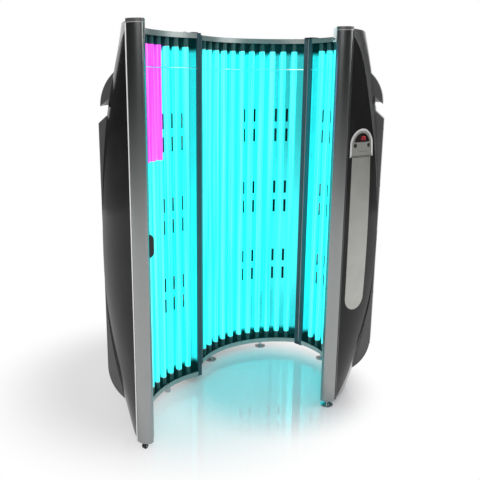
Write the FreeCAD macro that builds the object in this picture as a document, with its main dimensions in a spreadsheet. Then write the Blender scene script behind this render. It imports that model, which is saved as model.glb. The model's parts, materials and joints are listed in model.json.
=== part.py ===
import FreeCAD, Part
import math
import os
import Sketcher

# Vertical tanning booth: three curved lamp modules around a standing place.
# The back module and the side module are fixed together, the third one is the
# door: it swings on pivot pins at the back module's left end and rolls on a
# caster under its pillar.  Millimetres, +Z up, floor at z = 0.
#
# Each module has its own frame: origin at the centre of its arc, +X along the
# middle of its arc.  Angles along a module count from its front end (the
# pillar of a wing, the left end of the back module).

V = FreeCAD.Vector
Z_AXIS = V(0, 0, 1)
doc = FreeCAD.newDocument("TanningBooth")

# ---------------------------------------------------------------- sizes ----
SIZES = (
    ("module_height", 2160, "bottom rail's underside to top rail's top"),
    ("foot_height", 36, "floor to the bottom rail's underside"),
    ("rail_inner", 589, "radius of the rails' inner face"),
    ("module_sweep", 86.1, "angle of one module's arc, degrees"),
    ("rail_wall", 3, "sheet of the rails"),
    ("rail_lip", 30, "height of the rails' inner face"),
    ("rail_rear_lip", 18, "height of the lip that holds the reflector"),
    ("reflector_depth", 49, "reflector's lamp side behind the rails' face"),
    ("reflector_wall", 1.5, "reflector sheet"),
    ("reflector_flange", 36, "depth of the flanges at the reflector's ends"),
    ("seat_gap", 0.2, "assembly clearance between sheets that lie together"),
    ("seam_gap", 0.8, "seam at the gloss panel's upright edges"),
    ("post_width", 26, "end post along the arc"),
    ("post_wall", 3, "end post's wall"),
    ("back_depth", 105, "back module's outer skin behind the rails' face"),
    ("back_step", 4, "back posts' rear face in front of the outer skin"),
    ("cover_wall", 2.5, "skin of the covers"),
    ("vent_width", 130, "length of one vent slit in the back cover"),
    ("vent_slit", 7, "height of one vent slit"),
    ("vent_pitch", 18, "spacing of the vent slits"),
    ("joint_across", 10.3, "wing's rear end inwards of the back module's end"),
    ("joint_ahead", 20.1, "wing's rear end in front of the back module's end"),
    ("wing_angle", 25.45, "middle of a wing's arc, degrees in front of sideways"),
    ("hinge_out", 119.9, "door axis outwards of the back module's end"),
    ("hinge_ahead", 24.4, "door axis in front of the back module's end"),
    ("door_open", 72, "how far the door stands open, degrees"),
    ("wing_end_depth", 78, "wing skin's top and bottom behind the rails' face"),
    ("wing_bulge", 131, "how far the skin bulges at mid height"),
    ("bulge_power_high", 2, "shape of the bulge above mid height: 2 is a parabola"),
    ("bulge_power_low", 2.7, "shape of the bulge below mid height"),
    ("front_ramp", 20, "angle over which the skin rises from the pillar"),
    ("rear_ramp", 16, "angle over which the skin falls to the rear post"),
    ("ramp_curve", 600, "radius of the skin's bend on both ramps"),
    ("lens_wall", 6, "thickness of the gloss panel"),
    ("lens_drop", 35, "gloss panel's upper tip below the module's top"),
    ("lens_foot", 8, "height of the gloss panel's lower tip"),
    ("fairing_clear", 2, "widest part of a wing's skin to the inside of the fairing"),
    ("fairing_wall", 2.5, "wall of the rear fairing"),
    ("fairing_sweep", 47, "angle covered by the rear fairing"),
    ("fairing_drop", 482, "fairing's upper outer edge below the module's top"),
    ("fairing_lean", 42, "slope of the fairing's top and the cowl's edge, degrees"),
    ("fairing_foot", 335, "height where the fairing's foot starts to round"),
    ("fairing_foot_round", 280, "radius of the fairing's foot"),
    ("foot_turn", 52, "angle through which the foot rounds, degrees"),
    ("cowl_gap", 84, "air gap between the fairing and the cowl above it"),
    ("cowl_step", 12, "cowl's outer face in front of the fairing's"),
    ("cowl_round", 232, "radius of the cowl's outer face"),
    ("cowl_turn", 50, "angle through which the cowl rounds, degrees"),
    ("pillar_depth", 94, "radial depth of the front pillar"),
    ("pillar_nose", 62, "reach of the pillar beyond the arc's end"),
    ("pillar_flank", 12, "pillar's inner flank behind the rails' face"),
    ("pillar_wall", 3, "wall of the pillar extrusion"),
    ("pillar_cap", 18, "height of the pillar's end cap"),
    ("pillar_rise", 10, "end cap above the module's top"),
    ("lamps", 11, "lamps in one module"),
    ("lamp_pitch", 6.87, "angle between two lamps, degrees"),
    ("lamp_depth", 27, "lamps' axes behind the rails' face"),
    ("lamp_radius", 19, "T12 tube"),
    ("lamp_glass", 1, "glass wall of the tube"),
    ("lamp_cap", 6, "length of a lamp's metal cap"),
    ("lamp_boss", 8, "radius of the cap's contact boss"),
    ("lamp_boss_length", 7, "length of the contact boss"),
    ("holder_height", 73, "height of a lampholder"),
    ("holder_width", 32, "lampholder along the arc"),
    ("holder_depth", 34, "lampholder in radial direction"),
    ("sleeve_length", 640, "face lamp sleeve"),
    ("sleeve_wall", 1.2, "wall of the face lamp sleeve"),
    ("sleeve_first", 5, "lamps between the pillar and the first sleeve"),
    ("sleeve_drop", 76, "sleeves' upper end below the module's top"),
    ("sleeves", 3, "number of sleeved lamps"),
    ("rod_radius", 3, "lamp retaining rod"),
    ("rod_drop", 197, "retaining rod below the module's top"),
    ("slot_width", 16, "air slot in the reflector"),
    ("wing_slot_shift", 2.4, "wings' slots behind the middle between lamps, degrees"),
    ("slot_length", 88, "length of an air slot"),
    ("slot_pitch", 135, "spacing of the two slots of a pair"),
    ("slot_level", 500, "spacing of the three slot levels"),
    ("slot_first", 524, "height of the lowest slot's middle"),
    ("ballast_width", 62, "lamp ballast"),
    ("ballast_depth", 28, "thickness of a ballast"),
    ("ballast_length", 300, "length of a ballast"),
    ("ballast_low", 420, "height of the lower ballasts"),
    ("ballast_high", 1440, "height of the upper ballasts"),
    ("fan_size", 119, "square fan frame"),
    ("fan_depth", 25, "depth of the fan frame"),
    ("fan_bore", 56.5, "radius of the fan's duct"),
    ("fan_hub", 19, "radius of the rotor's hub"),
    ("fan_tip_gap", 1.5, "between blade tips and duct"),
    ("fan_motor", 5, "thickness of the motor plate"),
    ("fan_strut", 7, "width of the struts that hold the motor plate"),
    ("blade_chord", 3, "thickness of a fan blade"),
    ("corner_plate", 8, "thickness of the plates that join back and side"),
    ("leaf_wall", 4, "thickness of a hinge leaf"),
    ("leaf_root", 70, "from the door axis to the fixed leaf's thick part"),
    ("pin_radius", 8, "hinge pin"),
    ("running_fit", 0.05, "radial clearance of a running fit"),
    ("lug_radius", 21, "rounded end of the hinge brackets"),
    ("leaf_gap", 0.4, "between the two leaves of a hinge"),
    ("wheel_width", 18, "caster wheel's width"),
    ("wheel_gap", 0.7, "between the wheel and its fork"),
    ("caster_trail", 9, "wheel axle behind the swivel axis"),
    ("caster_heading", 200, "way the caster trails with the door open, degrees"),
    ("fork_wall", 3, "cheeks and crown of the caster fork"),
    ("axle_radius", 3, "caster axle"),
    ("stem_radius", 6, "caster stem"),
    ("stem_collar", 3, "how far the stem's collar stands out"),
    ("web_height", 8, "thickness of the web that closes a pillar's foot"),
    ("caster_out", 52, "swivel axis from the rails' inner face"),
    ("caster_ahead", 28, "swivel axis beyond the arc's end"),
    ("foot_radius", 37.5, "levelling foot's disc"),
    ("foot_disc", 6, "thickness of the disc"),
    ("foot_stem", 6, "radius of the threaded stem"),
    ("foot_nut", 8, "height of the lock nut under the rail"),
    ("foot_depth", 14, "feet's axes behind the rails' face"),
    ("glide_radius", 18, "nylon glide under the door"),
    ("glide_along", 26, "glide from the door's rear end, degrees"),
    ("glide_clearance", 1, "door glide above the floor"),
    ("handle_length", 120, "door pull"),
    ("handle_height", 1081, "height of the pull's middle in the module"),
    ("handle_depth", 26, "how far the pull stands off the pillar"),
    ("handle_width", 18, "width of the pull"),
    ("panel_width", 179, "control panel"),
    ("panel_drop", 532, "top of the control panel's arch below the module's top"),
    ("panel_height", 155, "height of the control panel"),
    ("panel_raise", 4, "control panel above the gloss panel"),
    ("panel_rim", 6, "width of the raised rim round the control panel"),
    ("rim_raise", 2, "rim above the control panel's face"),
    ("board_inset", 10, "circuit board's edge inside the control panel's edge"),
    ("plate_bottom", 566, "lower end of the name plate"),
    ("plate_inset", 16.5, "name plate's edge inside the control panel's edge"),
    ("plate_raise", 3, "name plate above the gloss panel"),
    ("window_width", 128, "arched display window"),
    ("window_rise", 50, "height of the window's arch"),
    ("button_radius", 8, "push button"),
    ("button_spacing", 108, "between the two buttons"),
    ("button_travel", 2, "stroke of a button"),
    ("button_gap", 0.3, "around a button"),
    ("button_flange", 1.2, "flange that keeps a button behind the bezel"),
    ("panel_arch", 73, "rise of the control panel's arch"),
    ("panel_inset", 16, "control panel from the pillar"),
    ("window_drop", 72, "display window's flat edge below the panel's top"),
    ("button_drop", 19, "buttons below the window's flat edge"),
    ("board_wall", 1.6, "timer circuit board"),
    ("board_clear", 2, "around the board in the gloss panel"),
    ("inlet_level", 90, "height of the inlet box in the module"),
    ("inlet_width", 90, "mains inlet box"),
    ("inlet_depth", 40, "how far the inlet box stands out"),
    ("inlet_height", 70, "height of the inlet box"),
    ("gland_bore", 7, "radius of the cable entry"),
)

dims = doc.addObject("Spreadsheet::Sheet", "dims")
# The last two rows hold the middle of the finished booth's outline, so that
# every placement can be counted from there.
ORIGIN = (("origin_x", 0, "outline's middle, across"), ("origin_y", 0, "outline's middle, along"))
ROWS = SIZES + ORIGIN
for row, (alias, number, meaning) in enumerate(ROWS, start=1):
    dims.set("A%d" % row, meaning)
    dims.set("B%d" % row, str(number))
    dims.setAlias("B%d" % row, alias)
doc.recompute()


def size(expression):
    """Number that an expression over the sheet's names gives."""
    return float(dims.evalExpression(sheet_names(expression)))


def sheet_names(expression):
    """Write the sheet's name in front of each alias of an expression."""
    text = str(expression)
    for alias, _, _ in ROWS:
        text = replace_word(text, alias, "dims." + alias)
    return text


def replace_word(text, word, new):
    out = ""
    place = 0
    while True:
        found = text.find(word, place)
        if found < 0:
            return out + text[place:]
        before = text[found - 1] if found else " "
        after = text[found + len(word)] if found + len(word) < len(text) else " "
        whole = not (before.isalnum() or before in "_.") and not (after.isalnum() or after == "_")
        out += text[place:found] + (new if whole else word)
        place = found + len(word)


def bind(target, path, expression):
    target.setExpression(path, sheet_names(expression))


def stand(piece, x, y, z, angle):
    """Place a piece by expressions, counted from the outline's middle."""
    bind(piece, ".Placement.Base.x", "(%s) - origin_x" % x)
    bind(piece, ".Placement.Base.y", "(%s) - origin_y" % y)
    bind(piece, ".Placement.Base.z", "foot_height + (%s)" % z)
    piece.Placement.Rotation = FreeCAD.Rotation(Z_AXIS, 1)
    bind(piece, ".Placement.Rotation.Angle", angle)


# Radii of a module's shells, heights counted from its top, and the plan of the
# wings and the hinge, which follow the two ends of the back module.
REFLECTOR = "(rail_inner + reflector_depth)"
BACK_SKIN = "(rail_inner + back_depth)"
BACK_POST_REAR = "(%s - back_step)" % BACK_SKIN
WING_END = "(rail_inner + wing_end_depth)"
FAIRING = "(%s + wing_bulge + fairing_clear + fairing_wall)" % WING_END
LAMP_CIRCLE = "(rail_inner + lamp_depth)"
FOOT_CIRCLE = "(rail_inner + foot_depth)"
FAIRING_TOP = "(module_height - fairing_drop)"
COWL_LOW = "(%s + cowl_gap)" % FAIRING_TOP
PANEL_TOP = "(module_height - panel_drop)"
PANEL_BOTTOM = "(%s - panel_height)" % PANEL_TOP
WINDOW_LEVEL = "(%s - window_drop)" % PANEL_TOP
BACK_END = "(90 - module_sweep / 2)"
WING_REAR = "(module_sweep / 2 - wing_angle)"
WING_X = "(rail_inner * (cos(%s) - cos(%s)) + joint_across)" % (WING_REAR, BACK_END)
WING_Y = "(rail_inner * (sin(%s) - sin(%s)) - joint_ahead)" % (BACK_END, WING_REAR)
HINGE_X = "(rail_inner * cos(%s) + hinge_out)" % BACK_END
HINGE_Y = "(rail_inner * sin(%s) - hinge_ahead)" % BACK_END


# --------------------------------------------------------------- modules ---
class Module:
    """Where a module stands; hand is +1 where its arc runs clockwise."""

    def __init__(self, name, x, y, turn, hand):
        self.name = name
        self.x = x
        self.y = y
        self.turn = turn
        self.hand = hand

    def heading(self, along):
        """Direction, in degrees, of the place at an angle along the arc."""
        return "%s + %d * (module_sweep / 2 - (%s))" % (self.turn, self.hand, along)

    def place(self, piece, along="module_sweep / 2", height="0"):
        stand(piece, self.x, self.y, height, self.heading(along))

    def spot(self, radius, along):
        """Plan coordinates, as expressions, of a place on the module."""
        heading = self.heading(along)
        across = "((%s) + (%s) * cos(%s))" % (self.x, radius, heading)
        depth = "((%s) + (%s) * sin(%s))" % (self.y, radius, heading)
        return across, depth

    def frame(self):
        """The module's frame as a placement, for shapes made in code."""
        x = size("(%s) - origin_x" % self.x)
        y = size("(%s) - origin_y" % self.y)
        return FreeCAD.Placement(V(x, y, size("foot_height")), FreeCAD.Rotation(Z_AXIS, size(self.turn)))


DOOR_REACH = "(%s + %s)" % (WING_X, HINGE_X)
DOOR_RISE = "(%s - %s)" % (WING_Y, HINGE_Y)
DOOR_X = "%s * cos(door_open) + %s * sin(door_open) - %s" % (DOOR_REACH, DOOR_RISE, HINGE_X)
DOOR_Y = "%s - %s * sin(door_open) + %s * cos(door_open)" % (HINGE_Y, DOOR_REACH, DOOR_RISE)
BACK = Module("back", "0", "0", "90", 1)
SIDE = Module("side", "-" + WING_X, WING_Y, "-wing_angle", -1)
DOOR = Module("door", DOOR_X, DOOR_Y, "180 + wing_angle - door_open", 1)
WINGS = (SIDE, DOOR)
POST_ANGLE = "(post_width / rail_inner * 180 / pi)"
HALF = "(module_sweep / 2)"

NODES = []


def node(piece, label):
    """Name a finished sub-part: the label is also its file's name."""
    piece.Label = label
    NODES.append(piece)
    return piece


# ---------------------------------------------------------------- sketches -
def plane(body, role):
    return [item for item in body.Origin.OriginFeatures if item.Role == role][0]


def sketch_on(body, name, role="XY_Plane", lift="0"):
    sketch = body.newObject("Sketcher::SketchObject", name)
    sketch.AttachmentSupport = [(plane(body, role), "")]
    sketch.MapMode = "FlatFace"
    bind(sketch, ".AttachmentOffset.Base.z", lift)
    return sketch


def pin_point(sketch, edge, end, across, up):
    """Hold a point of the sketch at two bound coordinates."""
    for kind, expression in (("DistanceX", across), ("DistanceY", up)):
        number = size(expression)
        rule = sketch.addConstraint(Sketcher.Constraint(kind, -1, 1, edge, end, number))
        sketch.renameConstraint(rule, "c%d" % rule)
        bind(sketch, "Constraints.c%d" % rule, expression)


def polygon(sketch, points):
    """Closed straight outline through points given as pairs of expressions."""
    first = sketch.GeometryCount
    numbers = [V(size(across), size(up), 0) for across, up in points]
    count = len(points)
    for i in range(count):
        sketch.addGeometry(Part.LineSegment(numbers[i], numbers[(i + 1) % count]))
    for i in range(count):
        follower = first + (i + 1) % count
        sketch.addConstraint(Sketcher.Constraint("Coincident", first + i, 2, follower, 1))
    for i, (across, up) in enumerate(points):
        pin_point(sketch, first + i, 1, across, up)


def rectangle(sketch, left, right, low, high):
    polygon(sketch, ((left, low), (right, low), (right, high), (left, high)))


def circle(sketch, across, up, radius):
    centre = V(size(across), size(up), 0)
    edge = sketch.addGeometry(Part.Circle(centre, Z_AXIS, size(radius)))
    pin_point(sketch, edge, 3, across, up)
    rule = sketch.addConstraint(Sketcher.Constraint("Radius", edge, size(radius)))
    sketch.renameConstraint(rule, "r%d" % rule)
    bind(sketch, "Constraints.r%d" % rule, radius)


def new_body(name):
    return doc.addObject("PartDesign::Body", name)


def pad(body, sketch, length, name="Pad"):
    feature = body.newObject("PartDesign::Pad", name)
    feature.Profile = sketch
    bind(feature, "Length", length)
    return feature


def pocket(body, sketch, length, name="Pocket", reverse=False):
    feature = body.newObject("PartDesign::Pocket", name)
    feature.Profile = sketch
    feature.Reversed = reverse
    bind(feature, "Length", length)
    return feature


def turned(body, sketch, sweep, kind="Revolution"):
    """Turn a profile of the XZ plane about Z, half to each side of it."""
    feature = body.newObject("PartDesign::" + kind, kind)
    feature.Profile = sketch
    feature.ReferenceAxis = (sketch, ["V_Axis"])
    feature.Midplane = True
    bind(feature, "Angle", sweep)
    return feature


def repeat_round(body, features, sweep, count, reverse):
    pattern = body.newObject("PartDesign::PolarPattern", "PolarPattern")
    pattern.Originals = features
    axis = [item for item in body.Origin.OriginFeatures if item.Role == "Z_Axis"][0]
    pattern.Axis = (axis, [""])
    pattern.Reversed = reverse
    bind(pattern, "Angle", sweep)
    bind(pattern, "Occurrences", count)
    body.Tip = pattern
    return pattern


def group(label, pieces):
    """One node that holds several like pieces as separate solids."""
    compound = doc.addObject("Part::Compound", label)
    compound.Links = pieces
    return node(compound, label)


# ------------------------------------------------------- pieces of a module
RAIL_OUTER = "(%s + reflector_wall + seat_gap + rail_wall)" % REFLECTOR
COVER_INNER = "(%s + seat_gap)" % RAIL_OUTER


def module_span(module):
    """Angles between which rails, reflector and cover run."""
    start = POST_ANGLE if module is BACK else "0"
    return start, "module_sweep - %s" % POST_ANGLE


def arc_body(module, name, profile, span=None):
    """Body turned about the module's axis; span gives its two angles."""
    start, end = span or module_span(module)
    body = new_body(name)
    sketch = sketch_on(body, name + "_profile", "XZ_Plane")
    polygon(sketch, profile)
    turned(body, sketch, "(%s) - (%s)" % (end, start))
    module.place(body, "((%s) + (%s)) / 2" % (start, end))
    return body


def make_rails(module):
    inner, outer, wall = "rail_inner", RAIL_OUTER, "rail_wall"
    section = (
        (inner, "0"),
        (outer, "0"),
        (outer, "rail_rear_lip"),
        (outer + " - " + wall, "rail_rear_lip"),
        (outer + " - " + wall, wall),
        (inner + " + " + wall, wall),
        (inner + " + " + wall, "rail_lip"),
        (inner, "rail_lip"),
    )
    upside = [(across, "module_height - (%s)" % up) for across, up in section]
    node(arc_body(module, module.name + "_bottom_rail", section), module.name + "_bottom_rail")
    node(arc_body(module, module.name + "_top_rail", upside), module.name + "_top_rail")


# Gaps between lamps that have air slots, counted from the module's front end.
SLOTTED = {"back": (1, 2, 5, 6, 8, 9), "side": (2, 3, 4, 7, 8, 9), "door": (2, 3, 4, 7, 8, 9)}
FIRST_LAMP = "(%s - (lamps - 1) / 2 * lamp_pitch)" % HALF


def make_reflector(module):
    name = module.name + "_reflector"
    inner = REFLECTOR
    outer = inner + " + reflector_wall"
    low = "rail_wall + seat_gap"
    high = "module_height - rail_wall - seat_gap"
    body = arc_body(module, name, ((inner, low), (outer, low), (outer, high), (inner, high)))
    start, end = module_span(module)
    middle = "((%s) + (%s)) / 2" % (start, end)
    for side in (-1, 1):
        sketch = sketch_on(body, "%s_flange_%d" % (name, side + 1), lift=low)
        turn = "%d * ((%s) - (%s)) / 2" % (side, end, start)
        corners = (
            (inner + " - reflector_flange", 0),
            (inner + " + reflector_wall / 2", 0),
            (inner + " + reflector_wall / 2", side),
            (inner + " - reflector_flange", side),
        )
        points = []
        for reach, inwards in corners:
            across = "(%s) * cos(%s) + %d * reflector_wall * sin(%s)" % (reach, turn, inwards, turn)
            up = "(%s) * sin(%s) - %d * reflector_wall * cos(%s)" % (reach, turn, inwards, turn)
            points.append((across, up))
        polygon(sketch, points)
        pad(body, sketch, "%s - (%s)" % (high, low), "Flange_%d" % (side + 1))
    shift = "0" if module is BACK else "wing_slot_shift"
    for gap in SLOTTED[module.name]:
        sketch = sketch_on(body, "%s_slots_%d" % (name, gap), "YZ_Plane")
        along = "%s + (%d + 0.5) * lamp_pitch + %s" % (FIRST_LAMP, gap, shift)
        # the plane's own X and Y are the body's Y and Z
        turn = "%d * (%s - (%s))" % (module.hand, middle, along)
        sketch.AttachmentOffset = FreeCAD.Placement(V(0, 0, 0), FreeCAD.Rotation(V(0, 1, 0), 1))
        bind(sketch, ".AttachmentOffset.Rotation.Angle", turn)
        for level in range(3):
            for slot in range(2):
                middle_up = "slot_first + %d * slot_level + %d * slot_pitch" % (level, slot)
                low = "%s - slot_length / 2" % middle_up
                high = "%s + slot_length / 2" % middle_up
                rectangle(sketch, "-slot_width / 2", "slot_width / 2", low, high)
        pocket(body, sketch, REFLECTOR + " * 1.2", "Slots_%d" % gap, True)
    node(body, name)


def make_post(module, name, along, outer, toward):
    """Rectangular post at one end of the arc; toward is the side it lies on."""
    body = new_body(name)
    near, far = ("0", "post_width") if toward > 0 else ("-post_width", "0")
    sketch = sketch_on(body, name + "_outline")
    rectangle(sketch, "rail_inner", outer, near, far)
    pad(body, sketch, "module_height")
    hollow = sketch_on(body, name + "_hollow")
    rectangle(
        hollow,
        "rail_inner + post_wall",
        outer + " - post_wall",
        near + " + post_wall",
        far + " - post_wall",
    )
    pocket(body, hollow, "module_height - post_wall", "Hollow", True)
    module.place(body, along)
    return body


def make_lamps(module):
    """Tubes, caps and lampholders of a module, each a round pattern."""
    name = module.name
    spread = "(lamps - 1) * lamp_pitch"
    back = module.hand > 0
    cap_low = "rail_wall + holder_height"
    cap_high = "module_height - rail_wall - holder_height"

    tubes = new_body(name + "_lamp_glass")
    sketch = sketch_on(tubes, name + "_glass_ring", lift=cap_low + " + lamp_cap")
    circle(sketch, LAMP_CIRCLE, "0", "lamp_radius")
    circle(sketch, LAMP_CIRCLE, "0", "lamp_radius - lamp_glass")
    glass = pad(tubes, sketch, "%s - (%s) - 2 * lamp_cap" % (cap_high, cap_low))
    repeat_round(tubes, [glass], spread, "lamps", back)
    module.place(tubes, FIRST_LAMP)

    caps = new_body(name + "_lamp_ends")
    discs = []
    for end, disc, boss in (
        ("low", cap_low, cap_low + " - lamp_boss_length"),
        ("high", cap_high + " - lamp_cap", cap_high),
    ):
        sketch = sketch_on(caps, "%s_cap_%s" % (name, end), lift=disc)
        circle(sketch, LAMP_CIRCLE, "0", "lamp_radius")
        discs.append(pad(caps, sketch, "lamp_cap", "Cap_" + end))
        sketch = sketch_on(caps, "%s_boss_%s" % (name, end), lift=boss)
        circle(sketch, LAMP_CIRCLE, "0", "lamp_boss")
        discs.append(pad(caps, sketch, "lamp_boss_length", "Boss_" + end))
    repeat_round(caps, discs, spread, "lamps", back)
    module.place(caps, FIRST_LAMP)

    holders = new_body(name + "_holders")
    blocks = []
    for end, low, socket in (
        ("low", "rail_wall", cap_low + " - lamp_boss_length - 1"),
        ("high", cap_high, cap_high),
    ):
        sketch = sketch_on(holders, "%s_holder_%s" % (name, end), lift=low)
        near = LAMP_CIRCLE + " - holder_depth / 2"
        far = LAMP_CIRCLE + " + holder_depth / 2"
        corner = "holder_width / 4"
        outline = (
            (near, "-" + corner),
            (near + " + " + corner, "-holder_width / 2"),
            (far, "-holder_width / 2"),
            (far, "holder_width / 2"),
            (near + " + " + corner, "holder_width / 2"),
            (near, corner),
        )
        polygon(sketch, outline)
        blocks.append(pad(holders, sketch, "holder_height", "Block_" + end))
        sketch = sketch_on(holders, "%s_socket_%s" % (name, end), lift=socket)
        circle(sketch, LAMP_CIRCLE, "0", "lamp_boss + seat_gap")
        blocks.append(pocket(holders, sketch, "lamp_boss_length + 1", "Socket_" + end, True))
    repeat_round(holders, blocks, spread, "lamps", back)
    module.place(holders, FIRST_LAMP)
    return tubes, caps, holders


def make_rod(module):
    """Thin rod in front of the lamps that keeps them from falling out."""
    body = new_body(module.name + "_rod")
    start, end = module_span(module)
    sketch = sketch_on(body, module.name + "_rod_section", "XZ_Plane")
    circle(sketch, "rail_inner + rod_radius + seat_gap", "module_height - rod_drop", "rod_radius")
    turned(body, sketch, "(%s) - (%s)" % (end, start))
    module.place(body, "((%s) + (%s)) / 2" % (start, end))
    return body


BALLAST_SEAT = "(%s + reflector_wall + seat_gap)" % REFLECTOR
BALLAST_ROWS = ("ballast_low", "ballast_high")
BALLAST_COLUMNS = 3
BALLAST_SPREAD = "(module_sweep * 0.54)"


def make_ballasts(module):
    """Two rows of three ballasts on the back of the reflector."""
    body = new_body(module.name + "_ballast_set")
    boxes = []
    for row, low in enumerate(BALLAST_ROWS):
        sketch = sketch_on(body, "%s_ballast_%d" % (module.name, row), lift=low)
        outer = BALLAST_SEAT + " + ballast_depth"
        rectangle(sketch, BALLAST_SEAT, outer, "-ballast_width / 2", "ballast_width / 2")
        boxes.append(pad(body, sketch, "ballast_length", "Ballast_%d" % row))
    repeat_round(body, boxes, BALLAST_SPREAD, str(BALLAST_COLUMNS), module.hand > 0)
    module.place(body, "%s - %s / 2" % (HALF, BALLAST_SPREAD))
    return body


FAN_SEAT = BALLAST_SEAT
FAN_HEIGHT = "(module_height / 2)"
FAN_BLADES = 7
MOTOR_DEPTH = "fan_motor"
BLADE_TIP = "(fan_bore - fan_tip_gap - blade_chord)"


def fan_frame(module, name):
    """Square frame with a round duct, a motor plate and its struts."""
    body = new_body(name)
    half = "fan_size / 2"
    sketch = sketch_on(body, name + "_square", "YZ_Plane", FAN_SEAT)
    rectangle(sketch, "-" + half, half, "%s - %s" % (FAN_HEIGHT, half), "%s + %s" % (FAN_HEIGHT, half))
    circle(sketch, "0", FAN_HEIGHT, "fan_bore")
    pad(body, sketch, "fan_depth")
    sketch = sketch_on(body, name + "_motor", "YZ_Plane", FAN_SEAT)
    circle(sketch, "0", FAN_HEIGHT, "fan_hub")
    pad(body, sketch, MOTOR_DEPTH, "Motor")
    low, high = FAN_HEIGHT + " - fan_strut / 2", FAN_HEIGHT + " + fan_strut / 2"
    sketch = sketch_on(body, name + "_struts", "YZ_Plane", FAN_SEAT)
    rectangle(sketch, "-fan_bore - 1", "fan_bore + 1", low, high)
    pad(body, sketch, MOTOR_DEPTH + " / 2", "Strut")
    module.place(body)
    return node(body, name)


def fan_rotor(module, name):
    """Hub and blades that turn in front of the frame's motor plate."""
    body = new_body(name)
    seat = "%s + %s + leaf_gap" % (FAN_SEAT, MOTOR_DEPTH)
    depth = "(fan_depth - %s - 2 * leaf_gap)" % MOTOR_DEPTH
    sketch = sketch_on(body, name + "_hub", "YZ_Plane", seat)
    circle(sketch, "0", FAN_HEIGHT, "fan_hub")
    pad(body, sketch, depth)
    sketch = sketch_on(body, name + "_blades", "YZ_Plane", "%s + %s / 4" % (seat, depth))
    for blade in range(FAN_BLADES):
        turn = "(%d * 360 / %d)" % (blade, FAN_BLADES)
        points = []
        for reach, side in (("fan_hub - 2", -1), (BLADE_TIP, -2), (BLADE_TIP, -1), ("fan_hub - 2", 0)):
            aside = "%d * blade_chord" % side
            across = "(%s) * cos(%s) - (%s) * sin(%s)" % (reach, turn, aside, turn)
            up = "(%s) * sin(%s) + (%s) * cos(%s)" % (reach, turn, aside, turn)
            points.append((across, "%s + %s" % (FAN_HEIGHT, up)))
        polygon(sketch, points)
    pad(body, sketch, depth + " / 2", "Blades")
    module.place(body)
    return node(body, name)


def make_back_cover():
    """Curved box around the back of the module, open towards the lamps."""
    name = "back_cover"
    inner, outer = COVER_INNER, BACK_SKIN
    profile = ((inner, "0"), (outer, "0"), (outer, "module_height"), (inner, "module_height"))
    body = arc_body(BACK, name, profile)
    start, end = module_span(BACK)
    hollow = sketch_on(body, name + "_hollow", "XZ_Plane")
    low, high = "cover_wall", "module_height - cover_wall"
    rectangle(hollow, inner + " - 1", outer + " - cover_wall", low, high)
    edge = "(cover_wall / %s * 180 / pi)" % outer
    turned(body, hollow, "(%s) - (%s) - 2 * %s" % (end, start, edge), "Groove")
    vents = sketch_on(body, name + "_vents", "YZ_Plane")
    for slit in range(-3, 4):
        middle = "%s + %d * vent_pitch" % (FAN_HEIGHT, slit)
        low = "%s - vent_slit / 2" % middle
        high = "%s + vent_slit / 2" % middle
        rectangle(vents, "-vent_width / 2", "vent_width / 2", low, high)
    pocket(body, vents, outer + " * 1.2", "Vents", True)
    node(body, name)


# --------------------------------------------------------- skins of a wing -
LEVELS = (0, 0.0625, 0.125, 0.25, 0.5, 0.75, 0.875, 1)


def polar(hand, radius, along, lift=0.0):
    """Point of a wing in its own frame, at an angle from its front end."""
    angle = math.radians(hand * (size(HALF) - along))
    return V(radius * math.cos(angle), radius * math.sin(angle), lift)


def skin_radius(share):
    """Radius of the bulging skin at a share of the module's height."""
    power = size("bulge_power_low") if share < 0.5 else size("bulge_power_high")
    return size(WING_END) + size("wing_bulge") * (1 - abs(2 * share - 1) ** power)


def bent(start, end, radius):
    """Arc between two points that bulges away from the module's axis."""
    chord = end - start
    middle = (start + end) * 0.5
    outward = V(middle.x, middle.y, 0)
    normal = chord.cross(Z_AXIS).normalize()
    if normal.dot(outward) < 0:
        normal = normal * -1
    rise = radius - math.sqrt(radius ** 2 - chord.Length ** 2 / 4)
    return Part.Arc(start, middle + normal * rise, end).toShape()


def round_arc(hand, radius, start, end, lift):
    """Arc about the module's axis."""
    middle = polar(hand, radius, (start + end) / 2, lift)
    return Part.Arc(polar(hand, radius, start, lift), middle, polar(hand, radius, end, lift)).toShape()


def pillar_edge():
    """Radius of the skin at the pillar: the gloss panel ends flush with it."""
    return size("rail_inner + pillar_depth - lens_wall - 1")


def cover_section(hand, share, shrink):
    """Outline of the wing's cover at one height; shrink moves it inwards."""
    lift = share * size("module_height")
    front_end = math.degrees(shrink / size("rail_inner"))
    rear_end = size("module_sweep - " + POST_ANGLE) - front_end
    inner = size(COVER_INNER) - (1 if shrink else 0)
    full = skin_radius(share) - shrink
    rise = size("front_ramp")
    fall = size("module_sweep") - size("rear_ramp")
    front = polar(hand, pillar_edge() - shrink, front_end, lift)
    shoulder = polar(hand, full, rise, lift)
    hip = polar(hand, full, fall, lift)
    rear = polar(hand, size(WING_END) - shrink, rear_end, lift)
    edges = (
        Part.LineSegment(polar(hand, inner, front_end, lift), front).toShape(),
        bent(front, shoulder, size("ramp_curve")),
        round_arc(hand, full, rise, fall, lift),
        bent(hip, rear, size("ramp_curve")),
        Part.LineSegment(rear, polar(hand, inner, rear_end, lift)).toShape(),
        round_arc(hand, inner, rear_end, front_end, lift),
    )
    return Part.Wire(edges)


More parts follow.
